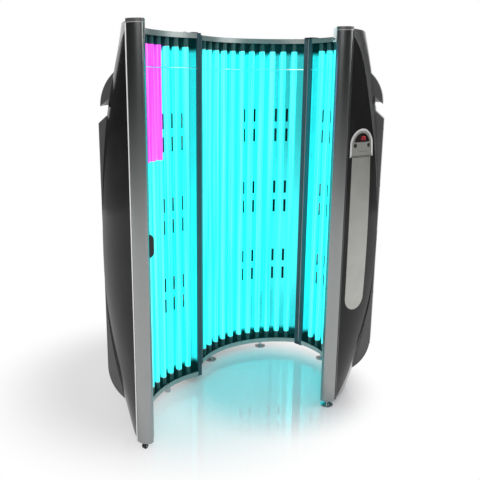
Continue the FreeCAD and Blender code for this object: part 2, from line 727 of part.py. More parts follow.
def lens_section(hand, share, near, far):
    """Thin outline on the front ramp between two offsets from the skin."""
    lift = share * size("module_height")
    full = skin_radius(share)
    corners = []
    for offset in (near, far):
        front = polar(hand, pillar_edge() + offset, 0, lift)
        rear = polar(hand, full + offset, size("front_ramp"), lift)
        corners.append((front, rear))
    (front_in, rear_in), (front_out, rear_out) = corners
    curve = size("ramp_curve")
    edges = (
        bent(front_in, rear_in, curve + near),
        Part.LineSegment(rear_in, rear_out).toShape(),
        bent(rear_out, front_out, curve + far),
        Part.LineSegment(front_out, front_in).toShape(),
    )
    return Part.Wire(edges)


def cover_solid(module, shrink=0.0):
    solid = Part.makeLoft([cover_section(module.hand, share, shrink) for share in LEVELS], True)
    return solid


def lens_solid(module, near, far):
    """Layer over the whole ramp, a little short of the pillar and the fairing."""
    sections = [lens_section(module.hand, share, near, far) for share in LEVELS]
    inner, outer = size("rail_inner"), size(FAIRING) + TRIM_REACH
    high = size("module_height")
    profile = [(inner, 0), (outer, 0), (outer, high), (inner, high)]
    seam = math.degrees(size("seam_gap") / inner)
    sector = ring_piece(module, profile, seam, size("front_ramp") - 2 * seam)
    return Part.makeLoft(sections, True).common(sector)


CODE_PIECES = []
# How far trimming tools reach past what they trim.
TRIM_REACH = 200


def code_piece(label, shape, module):
    """Piece whose skin is lofted: its shape is in the module's frame."""
    piece = doc.addObject("Part::Feature", label)
    own = shape.Placement
    piece.Shape = shape
    CODE_PIECES.append((piece, module, own))
    return node(piece, label)


def place_code_pieces():
    for piece, module, own in CODE_PIECES:
        piece.Placement = module.frame() * own


def slab(low, high):
    """Wide flat slab between two heights, for trimming."""
    side = 2 * (size(FAIRING) + TRIM_REACH)
    return Part.makeBox(side, side, high - low, V(-side / 2, -side / 2, low))


def make_wing_cover(module):
    wall = size("cover_wall")
    hollow = cover_solid(module, wall).common(slab(wall, size("module_height") - wall))
    code_piece(module.name + "_cover", cover_solid(module).cut(hollow), module)


RAMP_LEAN = 12.0


def outward(hand):
    """Direction in which the front ramp faces."""
    angle = math.radians(hand * (size(HALF) + RAMP_LEAN))
    return V(math.cos(angle), math.sin(angle), 0)


def facing(hand):
    """Placement whose XY plane lies square to the ramp: X to the front, Y up."""
    across = Z_AXIS.cross(outward(hand)) * hand
    return FreeCAD.Placement(V(0, 0, 0), FreeCAD.Rotation(across, Z_AXIS, across.cross(Z_AXIS), "XYZ"))


def on_ramp(radius, along):
    """Place across the ramp, in the facing plane, of a point of the skin."""
    return -radius * math.sin(math.radians(along + RAMP_LEAN))


def prism(module, wire):
    """Outline of the facing plane run right through the skin."""
    face = Part.Face(wire)
    face.Placement = facing(module.hand)
    return face.extrude(outward(module.hand) * (size(FAIRING) + TRIM_REACH))


# Rear edge of each wing's gloss panel, leaf-shaped: angle from the pillar, and
# the distance below the upper tip or above the lower tip.
LEAF_TOP = {
    "side": ((8.5, 93), (13.2, 286), (16.5, 565), (18.5, 857), (20.5, 1150)),
    "door": ((7.8, 64), (14.5, 150), (18.5, 285), (20.5, 450)),
}
LEAF_FOOT = {
    "side": ((6, 42), (11.2, 106), (14, 234), (17.5, 392), (20.5, 632)),
    "door": ((8, 36), (14, 102), (18, 190), (20.5, 290)),
}


def leaf_point(along, height):
    """Point of the facing plane over a place of the front ramp."""
    share = min(max(along / size("front_ramp"), 0), 1)
    radius = pillar_edge() + share * (skin_radius(height / size("module_height")) - pillar_edge())
    return V(on_ramp(radius, along), height, 0)


def leaf_edge(tip, points, sense):
    """Smooth curve from a tip at the pillar to the full width of the panel."""
    curve = Part.BSplineCurve()
    places = [leaf_point(along, tip + sense * gone) for along, gone in points]
    curve.interpolate([leaf_point(0, tip)] + places)
    return curve.toShape()


def make_lens(module, cut_out=None):
    """Leaf-shaped gloss panel on the front ramp."""
    apex = size("module_height - lens_drop")
    foot = size("lens_foot")
    upper = leaf_edge(apex, LEAF_TOP[module.name], -1)
    lower = leaf_edge(foot, LEAF_FOOT[module.name], 1)
    front = leaf_point(0, apex).x + TRIM_REACH
    rear = on_ramp(size(FAIRING), size("front_ramp")) - TRIM_REACH
    top_end, low_end = upper.Vertexes[1].Point, lower.Vertexes[1].Point
    rest = (
        top_end,
        V(rear, top_end.y, 0),
        V(rear, low_end.y, 0),
        low_end,
    )
    nose = (
        lower.Vertexes[0].Point,
        V(front, foot, 0),
        V(front, apex, 0),
        upper.Vertexes[0].Point,
    )
    lines = []
    for corners in (rest, nose):
        lines += [Part.LineSegment(a, b).toShape() for a, b in zip(corners[:-1], corners[1:])]
    outline = Part.Wire(Part.__sortEdges__([upper, lower] + lines))
    panel = lens_solid(module, size("seat_gap"), size("lens_wall")).common(prism(module, outline))
    if cut_out:
        panel = panel.cut(cut_out)
    code_piece(module.name + "_lens", panel, module)


def ring_piece(module, profile, start, sweep):
    """Solid turned about the module's axis from a closed radius-height profile."""
    wire = profile
    if isinstance(profile, list):
        wire = Part.makePolygon([V(r, 0, z) for r, z in profile + profile[:1]])
    face = Part.Face(wire)
    first = size(HALF) - start - sweep
    if module.hand < 0:
        first = start - size(HALF)
    face.rotate(V(0, 0, 0), Z_AXIS, first)
    return face.revolve(V(0, 0, 0), Z_AXIS, sweep)


def round_profile(root, edge, flat, level, radius, turn, sense):
    """Radius-height outline with a rounded end.

    It runs from the root out along a sloping edge, up or down an upright face
    (if it has one) to a level, round through an angle, and straight on to the
    root again.
    """
    middle = V(edge - radius, 0, level)
    corner = V(edge, 0, level)

    def on_round(angle):
        angle = math.radians(angle)
        return middle + V(radius * math.cos(angle), 0, sense * radius * math.sin(angle))

    end = on_round(turn)
    lean = math.radians(turn)
    run = (end.x - root) / math.sin(lean)
    last = V(root, 0, end.z + sense * run * math.cos(lean))
    slope = math.tan(math.radians(size("fairing_lean")))
    start = V(root, 0, flat + (edge - root) * slope)
    points = [last, start, corner]
    if flat != level:
        points.insert(2, V(edge, 0, flat))
    edges = [Part.LineSegment(a, b).toShape() for a, b in zip(points[:-1], points[1:])]
    edges.append(Part.Arc(corner, on_round(turn / 2), end).toShape())
    edges.append(Part.LineSegment(end, last).toShape())
    return Part.Wire(edges)


def make_fairing(module):
    """Hollow rear fairing with a round foot, and the hooded cowl above it."""
    skin = cover_solid(module)
    wall = size("fairing_wall")
    root = size(COVER_INNER)
    outer = size(FAIRING)
    start = size("front_ramp")
    sweep = size("fairing_sweep")
    side = math.degrees(wall / outer)

    def foot_profile(shrink):
        top = size(FAIRING_TOP) - shrink / math.cos(math.radians(size("fairing_lean")))
        radius = size("fairing_foot_round") - shrink
        return round_profile(root, outer - shrink, top, size("fairing_foot"), radius, size("foot_turn"), -1)

    shell = ring_piece(module, foot_profile(0), start, sweep)
    hollow = ring_piece(module, foot_profile(wall), start + side, sweep - 2 * side)
    code_piece(module.name + "_fairing", shell.cut(hollow).cut(skin), module)

    def cowl_profile(shrink, low):
        edge = outer - size("cowl_step") - shrink
        radius = size("cowl_round") - shrink
        return round_profile(root, edge, low, size(COWL_LOW), radius, size("cowl_turn"), 1)

    hood = ring_piece(module, cowl_profile(0, size(COWL_LOW)), start, sweep)
    below = size(COWL_LOW) - TRIM_REACH
    inside = ring_piece(module, cowl_profile(wall, below), start + side, sweep - 2 * side)
    code_piece(module.name + "_vent_cowl", hood.cut(inside).cut(skin), module)


def pillar_outline(inset=0.0):
    """Closed D outline: across is radial, up is beyond the arc's end."""
    depth = size("pillar_depth")
    nose = size("pillar_nose")
    flank = size("pillar_flank")
    tip = V(depth * 0.44, nose, 0)
    outer = Part.Arc(V(depth, 0, 0), V(depth * 0.84, nose * 0.62, 0), tip)
    inner = Part.Arc(tip, V(flank + (depth - flank) * 0.13, nose * 0.86, 0), V(flank, nose * 0.45, 0))
    corners = (V(flank, nose * 0.45, 0), V(flank, nose * 0.12, 0), V(0, nose * 0.1, 0), V(0, 0, 0))
    edges = [outer.toShape(), inner.toShape()]
    edges += [Part.LineSegment(a, b).toShape() for a, b in zip(corners[:-1], corners[1:])]
    edges.append(Part.LineSegment(corners[-1], V(depth, 0, 0)).toShape())
    wire = Part.Wire(edges)
    return wire.makeOffset2D(-inset) if inset else wire


def at_front(module, shape):
    """Move a shape drawn about the arc's front end to the module's frame."""
    angle = module.hand * size(HALF)
    if module.hand < 0:
        shape = shape.mirror(V(0, 0, 0), V(0, 1, 0))
    shape.translate(V(size("rail_inner"), 0, 0))
    shape.rotate(V(0, 0, 0), Z_AXIS, angle)
    return shape


def make_pillar(module):
    """Hollow D extrusion; the door's has a web for the caster's stem."""
    height = size("module_height + pillar_rise - pillar_cap")
    outline = Part.Face(pillar_outline())
    core = Part.Face(pillar_outline(size("pillar_wall")))
    tube = outline.extrude(V(0, 0, height)).cut(core.extrude(V(0, 0, height)))
    web = core.extrude(V(0, 0, size("web_height")))
    place = V(size("caster_out"), size("caster_ahead"), 0)
    bore = "stem_radius + running_fit" if module is DOOR else "foot_stem + seat_gap"
    web = web.cut(Part.makeCylinder(size(bore), size("web_height"), place))
    tube = tube.fuse(web).removeSplitter()
    code_piece(module.name + "_pillar", at_front(module, tube), module)

    cap = outline.extrude(V(0, 0, size("pillar_cap")))
    cap.translate(V(0, 0, height))
    code_piece(module.name + "_pillar_cap", at_front(module, cap), module)


# ------------------------------------------------- hinge, plates and feet --
def block(body, name, low, height, left, right, near, far):
    """Pad of a rectangle of the body's XY plane."""
    sketch = sketch_on(body, name + "_outline", lift=low)
    rectangle(sketch, left, right, near, far)
    pad(body, sketch, height, name)


def disc(body, name, low, height, radius, across="0", up="0"):
    sketch = sketch_on(body, name + "_outline", lift=low)
    circle(sketch, across, up, radius)
    pad(body, sketch, height, name)


def drill(body, name, low, height, radius, across="0", up="0"):
    """Round hole through a pad that starts at a height."""
    sketch = sketch_on(body, name + "_outline", lift=low)
    circle(sketch, across, up, radius)
    pocket(body, sketch, height, name, True)


BACK_POST = BACK.spot("(rail_inner + %s) / 2" % BACK_SKIN, POST_ANGLE + " / 2")
TO_POST = ("(%s + %s)" % (BACK_POST[0], HINGE_X), "(%s - %s)" % (BACK_POST[1], HINGE_Y))
POST_REACH = "sqrt((%s)^2 + (%s)^2)" % TO_POST
POST_HEADING = "atan2(%s; %s) / 1 deg" % (TO_POST[1], TO_POST[0])
DOOR_AXIS_RADIUS = "sqrt(%s^2 + %s^2)" % (DOOR_REACH, DOOR_RISE)
DOOR_LEAF_HEADING = "atan2(%s; %s) / 1 deg - door_open" % (DOOR_RISE, DOOR_REACH)
FIXED_LEAF = "(leaf_wall + leaf_gap)"


def make_fixed_leaf(name, upper):
    """Hinge leaf bolted to the back module's post, stepped over the other."""
    body = new_body(name)
    end = POST_REACH + " + lug_radius"
    if upper:
        strip, root = "module_height + " + FIXED_LEAF, "module_height"
    else:
        strip, root = "-%s - leaf_wall" % FIXED_LEAF, "-" + FIXED_LEAF
    disc(body, name + "_lug", strip, "leaf_wall", "lug_radius")
    block(body, name + "_strip", strip, "leaf_wall", "0", end, "-lug_radius", "lug_radius")
    block(body, name + "_root", root, FIXED_LEAF, "leaf_root", end, "-lug_radius", "lug_radius")
    drill(body, name + "_bore", strip, "leaf_wall", "pin_radius")
    stand(body, "-" + HINGE_X, HINGE_Y, "0", POST_HEADING)
    return body


def make_door_leaf(name, upper):
    """Flat hinge leaf on the door's rail."""
    body = new_body(name)
    low = "module_height" if upper else "-leaf_wall"
    end = "%s - rail_inner - post_wall" % DOOR_AXIS_RADIUS
    disc(body, name + "_lug", low, "leaf_wall", "lug_radius")
    block(body, name + "_strip", low, "leaf_wall", "0", end, "-lug_radius * 0.8", "lug_radius * 0.8")
    drill(body, name + "_bore", low, "leaf_wall", "pin_radius + running_fit")
    stand(body, "-" + HINGE_X, HINGE_Y, "0", DOOR_LEAF_HEADING)
    return body


def make_pin(name, upper):
    """Headed hinge pin, tight in the fixed leaf."""
    body = new_body(name)
    tall = "leaf_wall + %s + pin_radius / 2" % FIXED_LEAF
    if upper:
        low, head = "module_height - pin_radius / 2", "module_height + leaf_wall + " + FIXED_LEAF
    else:
        low, head = "-leaf_wall - " + FIXED_LEAF, "-leaf_wall - %s - pin_radius / 2" % FIXED_LEAF
    disc(body, name + "_shank", low, tall, "pin_radius")
    disc(body, name + "_head", head, "pin_radius / 2", "pin_radius * 1.5")
    stand(body, "-" + HINGE_X, HINGE_Y, "0", "0")
    return body


def make_corner_plate(name, low):
    """Plate that ties the back module's post to the side module's."""
    body = new_body(name)
    sketch = sketch_on(body, name + "_outline", lift=low)
    back_along = "module_sweep - " + POST_ANGLE
    edge = "post_wall"
    points = (
        BACK.spot("rail_inner + " + edge, back_along),
        SIDE.spot("rail_inner + " + edge, back_along),
        SIDE.spot("%s - %s" % (WING_END, edge), back_along),
        BACK.spot("%s - %s" % (BACK_POST_REAR, edge), back_along),
    )
    polygon(sketch, points)
    pad(body, sketch, "corner_plate")
    stand(body, "0", "0", "0", "0")
    return body


FEET = (
    (BACK, FOOT_CIRCLE, "16"),
    (BACK, FOOT_CIRCLE, "59"),
    (SIDE, FOOT_CIRCLE, "30"),
    (SIDE, FOOT_CIRCLE, "64"),
)
PILLAR_REACH = "sqrt((rail_inner + caster_out)^2 + caster_ahead^2)"
PILLAR_LEAN = "(atan(caster_ahead / (rail_inner + caster_out)) / 1 deg)"


def make_foot(name, module, radius, along):
    """Levelling foot: a pad, and a threaded stem with its lock nut."""
    x, y = module.spot(radius, along)
    base = new_body(name + "_pad")
    disc(base, name + "_disc", "-foot_height", "foot_disc", "foot_radius")
    disc(base, name + "_collar", "foot_disc - foot_height", "foot_disc", "foot_stem * 2")
    drill(base, name + "_socket", "foot_disc - foot_height", "foot_disc", "foot_stem + seat_gap")
    stand(base, x, y, "0", "0")
    stem = new_body(name + "_stem")
    tall = "foot_height - foot_disc"
    disc(stem, name + "_thread", "foot_disc - foot_height", tall, "foot_stem")
    disc(stem, name + "_nut", "-foot_nut", "foot_nut", "foot_stem * 1.6")
    stand(stem, x, y, "0", "0")
    return base, stem


def make_glide():
    """Nylon glide that carries the door when it is leaned on."""
    body = new_body("door_glide")
    disc(body, "glide", "glide_clearance - foot_height", "foot_height - glide_clearance", "glide_radius")
    x, y = DOOR.spot("rail_inner + glide_radius + rail_wall", "module_sweep - glide_along")
    stand(body, x, y, "0", "0")
    node(body, "door_glide")


# ----------------------------------------------------------------- caster --
CROWN_LOW = "(-leaf_gap - fork_wall)"
WHEEL_RADIUS = "((foot_height + %s - wheel_gap) / 2)" % CROWN_LOW
CHEEK = "(wheel_width / 2 + wheel_gap)"


def stand_caster(body):
    x, y = DOOR.spot(PILLAR_REACH, "-" + PILLAR_LEAN)
    stand(body, x, y, "0", "caster_heading")


def make_fork():
    """Fork with its stem, which swivels in the web of the door's pillar."""
    body = new_body("caster_fork")
    outer = "(%s + fork_wall)" % CHEEK
    reach = "(caster_trail + axle_radius * 2)"
    block(body, "crown", CROWN_LOW, "fork_wall", "-stem_radius", reach, "-" + outer, outer)
    depth = "(foot_height - %s + %s + axle_radius * 2)" % (WHEEL_RADIUS, CROWN_LOW)
    for side, near, far in (("left", CHEEK, outer), ("right", "-" + outer, "-" + CHEEK)):
        low = "%s - %s" % (CROWN_LOW, depth)
        block(body, "cheek_" + side, low, depth, "caster_trail - axle_radius * 2", reach, near, far)
    disc(body, "stem", "-leaf_gap", "leaf_gap * 2 + web_height", "stem_radius")
    disc(body, "collar", "web_height + leaf_gap", "stem_collar", "stem_radius + stem_collar")
    sketch = sketch_on(body, "axle_hole", "XZ_Plane", "-(%s) - 1" % outer)
    circle(sketch, "caster_trail", "%s - foot_height" % WHEEL_RADIUS, "axle_radius")
    pocket(body, sketch, "2 * (%s) + 2" % outer, "Axle_hole", True)
    stand_caster(body)
    node(body, "caster_fork")


def across_wheel(name, radius, width, bore=None):
    """Round piece about the caster's axle."""
    body = new_body(name)
    sketch = sketch_on(body, name + "_outline", "XZ_Plane", "-(%s) / 2" % width)
    up = "%s - foot_height" % WHEEL_RADIUS
    circle(sketch, "caster_trail", up, radius)
    if bore:
        circle(sketch, "caster_trail", up, bore)
    pad(body, sketch, width)
    stand_caster(body)
    return node(body, name)


# ------------------------------------------------------- small fittings ----
def make_sleeves():
    """Coloured sleeves over the upper part of some of the door's lamps."""
    body = new_body("face_lamp_sleeves")
    sketch = sketch_on(body, "sleeve_ring", lift="module_height - sleeve_drop - sleeve_length")
    circle(sketch, LAMP_CIRCLE, "0", "lamp_radius + seat_gap + sleeve_wall")
    circle(sketch, LAMP_CIRCLE, "0", "lamp_radius + seat_gap")
    tube = pad(body, sketch, "sleeve_length")
    repeat_round(body, [tube], "(sleeves - 1) * lamp_pitch", "sleeves", DOOR.hand > 0)
    DOOR.place(body, FIRST_LAMP + " + sleeve_first * lamp_pitch")
    node(body, "face_lamp_sleeves")


def make_handle():
    """D-shaped pull on the inner flank of the door's pillar."""
    body = new_body("door_handle")
    flank = "(rail_inner + pillar_flank)"
    reach = "(handle_length / 2 - handle_depth)"
    lift = "-(pillar_flank + handle_width)"
    low, high = "handle_height - " + reach, "handle_height + " + reach
    sketch = sketch_on(body, "pull_bar", "XZ_Plane", lift)
    rectangle(sketch, flank + " - handle_depth", flank, low, high)
    pad(body, sketch, "handle_width")
    for end, level in (("lower", low), ("upper", high)):
        sketch = sketch_on(body, "pull_%s_end" % end, "XZ_Plane", lift)
        circle(sketch, flank, level, "handle_depth")
        pad(body, sketch, "handle_width", "Round_" + end)
    sketch = sketch_on(body, "pull_back", "XZ_Plane", lift)
    rear = flank + " + handle_depth + 1"
    rectangle(sketch, flank, rear, "handle_height - handle_length", "handle_height + handle_length")
    pocket(body, sketch, "handle_width", "Back", True)
    DOOR.place(body, "0")
    node(body, "door_handle")


def make_inlet():
    """Mains inlet box on the back cover, with a bore for the cable gland."""
    body = new_body("mains_inlet")
    outer = BACK_SKIN + " + inlet_depth"
    sketch = sketch_on(body, "inlet_box", lift="inlet_level")
    rectangle(sketch, BACK_SKIN + " - inlet_depth", outer, "-inlet_width / 2", "inlet_width / 2")
    pad(body, sketch, "inlet_height")
    sketch = sketch_on(body, "inlet_seat", "XZ_Plane")
    seat = BACK_SKIN + " + seat_gap"
    low, high = "inlet_level - 1", "inlet_level + inlet_height + 1"
    rectangle(sketch, BACK_SKIN + " - 2 * inlet_depth", seat, low, high)
    turned(body, sketch, "module_sweep / 4", "Groove")
    place = BACK_SKIN + " + inlet_depth / 2"
    drill(body, "gland", "inlet_level", "inlet_height / 2", "gland_bore", place)
    BACK.place(body)
    node(body, "mains_inlet")


# ---------------------------------------------------------- control panel --
def layer(near, far, wire):
    """Part of a skin-following layer of the side module inside an outline."""
    return lens_solid(SIDE, size(near), size(far)).common(prism(SIDE, wire))


def panel_across(share):
    """Place across the control panel: 0 at the pillar, 1 at the far edge."""
    edge = on_ramp(pillar_edge(), 0) - size("panel_inset")
    return edge - share * size("panel_width")


def arch_wire(left, right, low, high, bow):
    """Upright panel outline with an arched top."""
    spring = high - bow
    middle = (left + right) / 2
    arch = Part.Arc(V(left, spring, 0), V(middle, high, 0), V(right, spring, 0)).toShape()
    corners = (V(right, spring, 0), V(right, low, 0), V(left, low, 0), V(left, spring, 0))
    lines = [Part.LineSegment(a, b).toShape() for a, b in zip(corners[:-1], corners[1:])]
    return Part.Wire([arch] + lines)


def window_wire(across, up, half, rise):
    """Arch over a flat lower edge."""
    left, right = V(across - half, up, 0), V(across + half, up, 0)
    arch = Part.Arc(left, V(across, up + rise, 0), right).toShape()
    return Part.Wire([arch, Part.LineSegment(right, left).toShape()])


# Edges that end within this distance of a face belong to it.
EDGE_TOLERANCE = 0.1
BEZEL_SEAT = "lens_wall + seat_gap"
BEZEL_FACE = "lens_wall + panel_raise"
BOARD_FACE = "seat_gap + board_wall"


def button_places():
    """The two buttons, in the facing plane, below the display window."""
    middle = panel_across(0.5)
    half = size("button_spacing") / 2
    up = size(WINDOW_LEVEL + " - button_drop")
    return (("start_button", middle + half, up), ("stop_button", middle - half, up))


def skin_frame(across, up):
    """Frame on the skin seen at a place of the facing plane, Z outwards."""
    out = outward(SIDE.hand)
    start = facing(SIDE.hand).multVec(V(across, up, 0))
    ray = Part.makeLine(start, start + out * (size(FAIRING) + TRIM_REACH))
    skin = lens_skin(SIDE)
    hits = skin.distToShape(ray)
    point = hits[1][0][0]
    support = hits[2][0]
    face = skin.Faces[support[1]]
    normal = face.normalAt(*support[2])
    if normal.dot(out) < 0:
        normal = normal * -1
    return FreeCAD.Placement(point, FreeCAD.Rotation(V(0, 0, 1), normal))


def lens_skin(module):
    """Surface under the gloss panel."""
    curves = []
    for share in LEVELS:
        lift = share * size("module_height")
        front = polar(module.hand, pillar_edge(), 0, lift)
        rear = polar(module.hand, skin_radius(share), size("front_ramp"), lift)
        curves.append(Part.Wire([bent(front, rear, size("ramp_curve"))]))
    return Part.makeLoft(curves, False)


def bezel_wire(inset):
    """Arched outline of the control panel, moved inwards by an inset."""
    near, far = panel_across(1) + inset, panel_across(0) - inset
    return arch_wire(near, far, size(PANEL_BOTTOM) + inset, size(PANEL_TOP) - inset, size("panel_arch"))


def make_button(name, frame):
    """Push button with a flange that keeps it behind the bezel."""
    seat = size(BOARD_FACE + " + button_travel + seat_gap")
    radius = size("button_radius")
    tall = size(BEZEL_FACE + " + button_travel + 1") - seat
    button = Part.makeCylinder(radius, tall, V(0, 0, seat))
    button = button.fuse(Part.makeCylinder(radius * 1.3, size("button_flange"), V(0, 0, seat)))
    rim = [edge for edge in button.Edges if edge.BoundBox.ZMin > seat + tall - EDGE_TOLERANCE]
    button = button.makeFillet(1, rim)
    button.Placement = frame
    code_piece(name, button, SIDE)


def make_control_panel():
    """Bezel with a raised rim, window, board and two push buttons."""
    middle = panel_across(0.5)
    level, rise = size(WINDOW_LEVEL), size("window_rise")
    half, gap = size("window_width") / 2, size("seat_gap")
    window = window_wire(middle, level, half, rise)
    opening = window_wire(middle, level - gap, half + gap, rise + 2 * gap)
    bezel = layer(BEZEL_SEAT, BEZEL_FACE, bezel_wire(0))
    rim = layer(BEZEL_FACE, BEZEL_FACE + " + rim_raise", bezel_wire(0))
    bezel = bezel.fuse(rim.cut(prism(SIDE, bezel_wire(size("panel_rim"))))).cut(prism(SIDE, opening))
    board = layer("seat_gap", BOARD_FACE, bezel_wire(size("board_inset")))
    code_piece("timer_board", board, SIDE)
    code_piece("display_window", layer(BOARD_FACE + " + seat_gap", BEZEL_FACE, window), SIDE)
    for name, across, up in button_places():
        frame = skin_frame(across, up)
        make_button(name, frame)
        hole = Part.makeCylinder(size("button_radius + button_gap"), size(FAIRING), V(0, 0, 0))
        hole.Placement = frame
        bezel = bezel.cut(hole)
    code_piece("control_bezel", bezel, SIDE)
    return prism(SIDE, bezel_wire(size("board_inset - board_clear")))


def make_name_plate():
    """Bare brushed plate under the control panel, round at its lower end."""
    near = panel_across(1) + size("plate_inset")
    far = panel_across(0) - size("plate_inset")
    middle = (near + far) / 2
    high = size(PANEL_BOTTOM + " - seat_gap")
    low = size("plate_bottom") + (far - near) / 2
    arch = Part.Arc(V(far, low, 0), V(middle, size("plate_bottom"), 0), V(near, low, 0)).toShape()
    corners = (V(near, low, 0), V(near, high, 0), V(far, high, 0), V(far, low, 0))
    lines = [Part.LineSegment(a, b).toShape() for a, b in zip(corners[:-1], corners[1:])]
    plate = layer(BEZEL_SEAT, "lens_wall + plate_raise", Part.Wire([arch] + lines))
    code_piece("name_plate", plate, SIDE)


# ------------------------------------------------------------ assembly -----
for each in (BACK, SIDE, DOOR):
    make_rails(each)
    make_reflector(each)
    fan_frame(each, each.name + "_fan_frame")
    fan_rotor(each, each.name + "_fan_rotor")

make_back_cover()
for wing in WINGS:
    make_wing_cover(wing)
    make_fairing(wing)
    make_pillar(wing)
make_lens(SIDE, make_control_panel())
make_lens(DOOR)
make_name_plate()

left_post = make_post(BACK, "back_post_left", "0", BACK_POST_REAR, -BACK.hand)
right_post = make_post(BACK, "back_post_right", "module_sweep", BACK_POST_REAR, BACK.hand)
group("back_posts", [left_post, right_post])
for wing in WINGS:
    rear = make_post(wing, wing.name + "_post", "module_sweep", WING_END, wing.hand)
    node(rear, wing.name + "_post")

lamp_parts = {each.name: make_lamps(each) for each in (BACK, SIDE, DOOR)}
for index, what in enumerate(("lamps", "lamp_caps", "lampholders")):
    group("fixed_" + what, [lamp_parts["back"][index], lamp_parts["side"][index]])
    node(lamp_parts["door"][index], "door_" + what)

group("fixed_lamp_rods", [make_rod(BACK), make_rod(SIDE)])
node(make_rod(DOOR), "door_lamp_rod")
group("fixed_ballasts", [make_ballasts(BACK), make_ballasts(SIDE)])
node(make_ballasts(DOOR), "door_ballasts")

make_sleeves()
make_handle()
make_inlet()

plates = (("upper_plate", "module_height"), ("lower_plate", "-corner_plate"))
group("corner_plates", [make_corner_plate(name, low) for name, low in plates])
for label, make in (
    ("fixed_hinge_leaves", make_fixed_leaf),
    ("door_hinge_leaves", make_door_leaf),
    ("hinge_pins", make_pin),
):
    group(label, [make("%s_%s" % (end, label), end == "upper") for end in ("upper", "lower")])
feet = [make_foot("foot_%d" % i, *place) for i, place in enumerate(FEET)]
feet.append(make_foot("foot_pillar", SIDE, PILLAR_REACH, "-" + PILLAR_LEAN))
group("levelling_foot_pads", [base for base, _ in feet])
group("levelling_foot_stems", [stem for _, stem in feet])
make_glide()
make_fork()
across_wheel("caster_wheel", WHEEL_RADIUS, "wheel_width", "axle_radius + running_fit")
across_wheel("caster_axle", "axle_radius", "2 * (%s + fork_wall)" % CHEEK)

# ------------------------------------------------- origin and checking -----
place_code_pieces()
doc.recompute()
outline = FreeCAD.BoundBox()
for piece in NODES:
    outline.add(piece.Shape.optimalBoundingBox(False))
for offset, (row_name, middle) in enumerate((("origin_x", outline.Center.x), ("origin_y", outline.Center.y))):
    dims.set("B%d" % (len(SIZES) + 1 + offset), "%.6f" % middle)
doc.recompute()
place_code_pieces()
doc.recompute()
faults = []
for item in doc.Objects:
    if "Invalid" in item.State or "Error" in item.State:
        faults.append("%s: %s" % (item.Label, item.State))
for piece in NODES:
    if piece.Shape.isNull() or not piece.Shape.isValid():
        faults.append("%s: bad shape" % piece.Label)
if faults:
    raise RuntimeError("; ".join(faults))

os.makedirs("parts", exist_ok=True)
for piece in NODES:
    piece.Shape.exportStep(os.path.join("parts", piece.Label + ".step"))
    print("%-22s %3d solids %12.0f mm3" % (piece.Label, len(piece.Shape.Solids), piece.Shape.Volume))
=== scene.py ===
import json
import math

import bmesh
import bpy
from mathutils import Matrix, Vector
from mathutils.bvhtree import BVHTree


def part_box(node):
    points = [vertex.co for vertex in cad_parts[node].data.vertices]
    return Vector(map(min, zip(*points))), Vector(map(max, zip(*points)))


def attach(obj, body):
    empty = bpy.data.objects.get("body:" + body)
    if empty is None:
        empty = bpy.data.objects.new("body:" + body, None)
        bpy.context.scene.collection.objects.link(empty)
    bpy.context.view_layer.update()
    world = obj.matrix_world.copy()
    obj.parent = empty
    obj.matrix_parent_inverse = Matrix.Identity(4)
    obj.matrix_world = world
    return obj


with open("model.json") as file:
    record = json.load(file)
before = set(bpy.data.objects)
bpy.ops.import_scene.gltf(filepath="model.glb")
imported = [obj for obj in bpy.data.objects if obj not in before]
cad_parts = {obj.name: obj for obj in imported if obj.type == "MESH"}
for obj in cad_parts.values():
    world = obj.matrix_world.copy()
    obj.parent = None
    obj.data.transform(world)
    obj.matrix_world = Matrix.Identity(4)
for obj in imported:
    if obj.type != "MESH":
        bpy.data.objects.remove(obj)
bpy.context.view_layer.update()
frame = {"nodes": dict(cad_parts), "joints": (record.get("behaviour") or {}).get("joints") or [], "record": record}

scene = bpy.context.scene
NODES = frame["nodes"]
JOINTS = {joint["name"]: joint for joint in frame["joints"]}
DOWN = Vector((0, 0, -1))

# ------------------------------------------------------------- the booth ---
# Plan measures in metres and degrees. The centre of the back module's arc lies
# at a known place from the door's axis. The centres of the side module and of
# the closed door lie behind it, one to each side.
HINGE = Vector(JOINTS["door_swing"]["pos_m"])
BACK_FROM_HINGE = (0.522, -0.406)
WING_ACROSS, WING_BEHIND = 0.1696, 0.2322
WING_HEADING = 25.45
DOOR_OPEN = 72
MODULE_SWEEP = 86.1
RAIL_INNER = 0.589
MODULE_DEPTH = 0.094

BACK_CENTRE = Vector((HINGE.x + BACK_FROM_HINGE[0], HINGE.y + BACK_FROM_HINGE[1], 0))
SIDE_CENTRE = BACK_CENTRE + Vector((-WING_ACROSS, WING_BEHIND, 0))
DOOR_CENTRE = HINGE + Matrix.Rotation(-math.radians(DOOR_OPEN), 3, "Z") @ (
    BACK_CENTRE + Vector((WING_ACROSS, WING_BEHIND, 0)) - HINGE)
DOOR_CENTRE.z = 0
HALF_SWEEP = math.radians(MODULE_SWEEP / 2)
RAIL_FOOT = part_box("side_bottom_rail")[0].z
RAIL_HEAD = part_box("side_top_rail")[1].z


class Module:
    """A module's arc: its centre, the heading of its middle and its sense."""

    def __init__(self, name, body, centre, heading, hand):
        self.name = name
        self.body = body
        self.centre = centre
        self.heading = math.radians(heading)
        self.hand = hand

    def angle(self, along):
        """Heading of the place that lies this many degrees from the front end."""
        return self.heading + self.hand * (HALF_SWEEP - math.radians(along))

    def outward(self, along):
        """Level direction from the centre to a place on the arc."""
        turn = self.angle(along)
        return Vector((math.cos(turn), math.sin(turn), 0))

    def onward(self, along):
        """Direction along the arc, away from the front end."""
        turn = self.angle(along)
        return Vector((math.sin(turn), -math.cos(turn), 0)) * self.hand

    def at(self, radius, along, z):
        """Place at a radius, an angle from the front end and a height."""
        return self.centre + self.outward(along) * radius + Vector((0, 0, z))


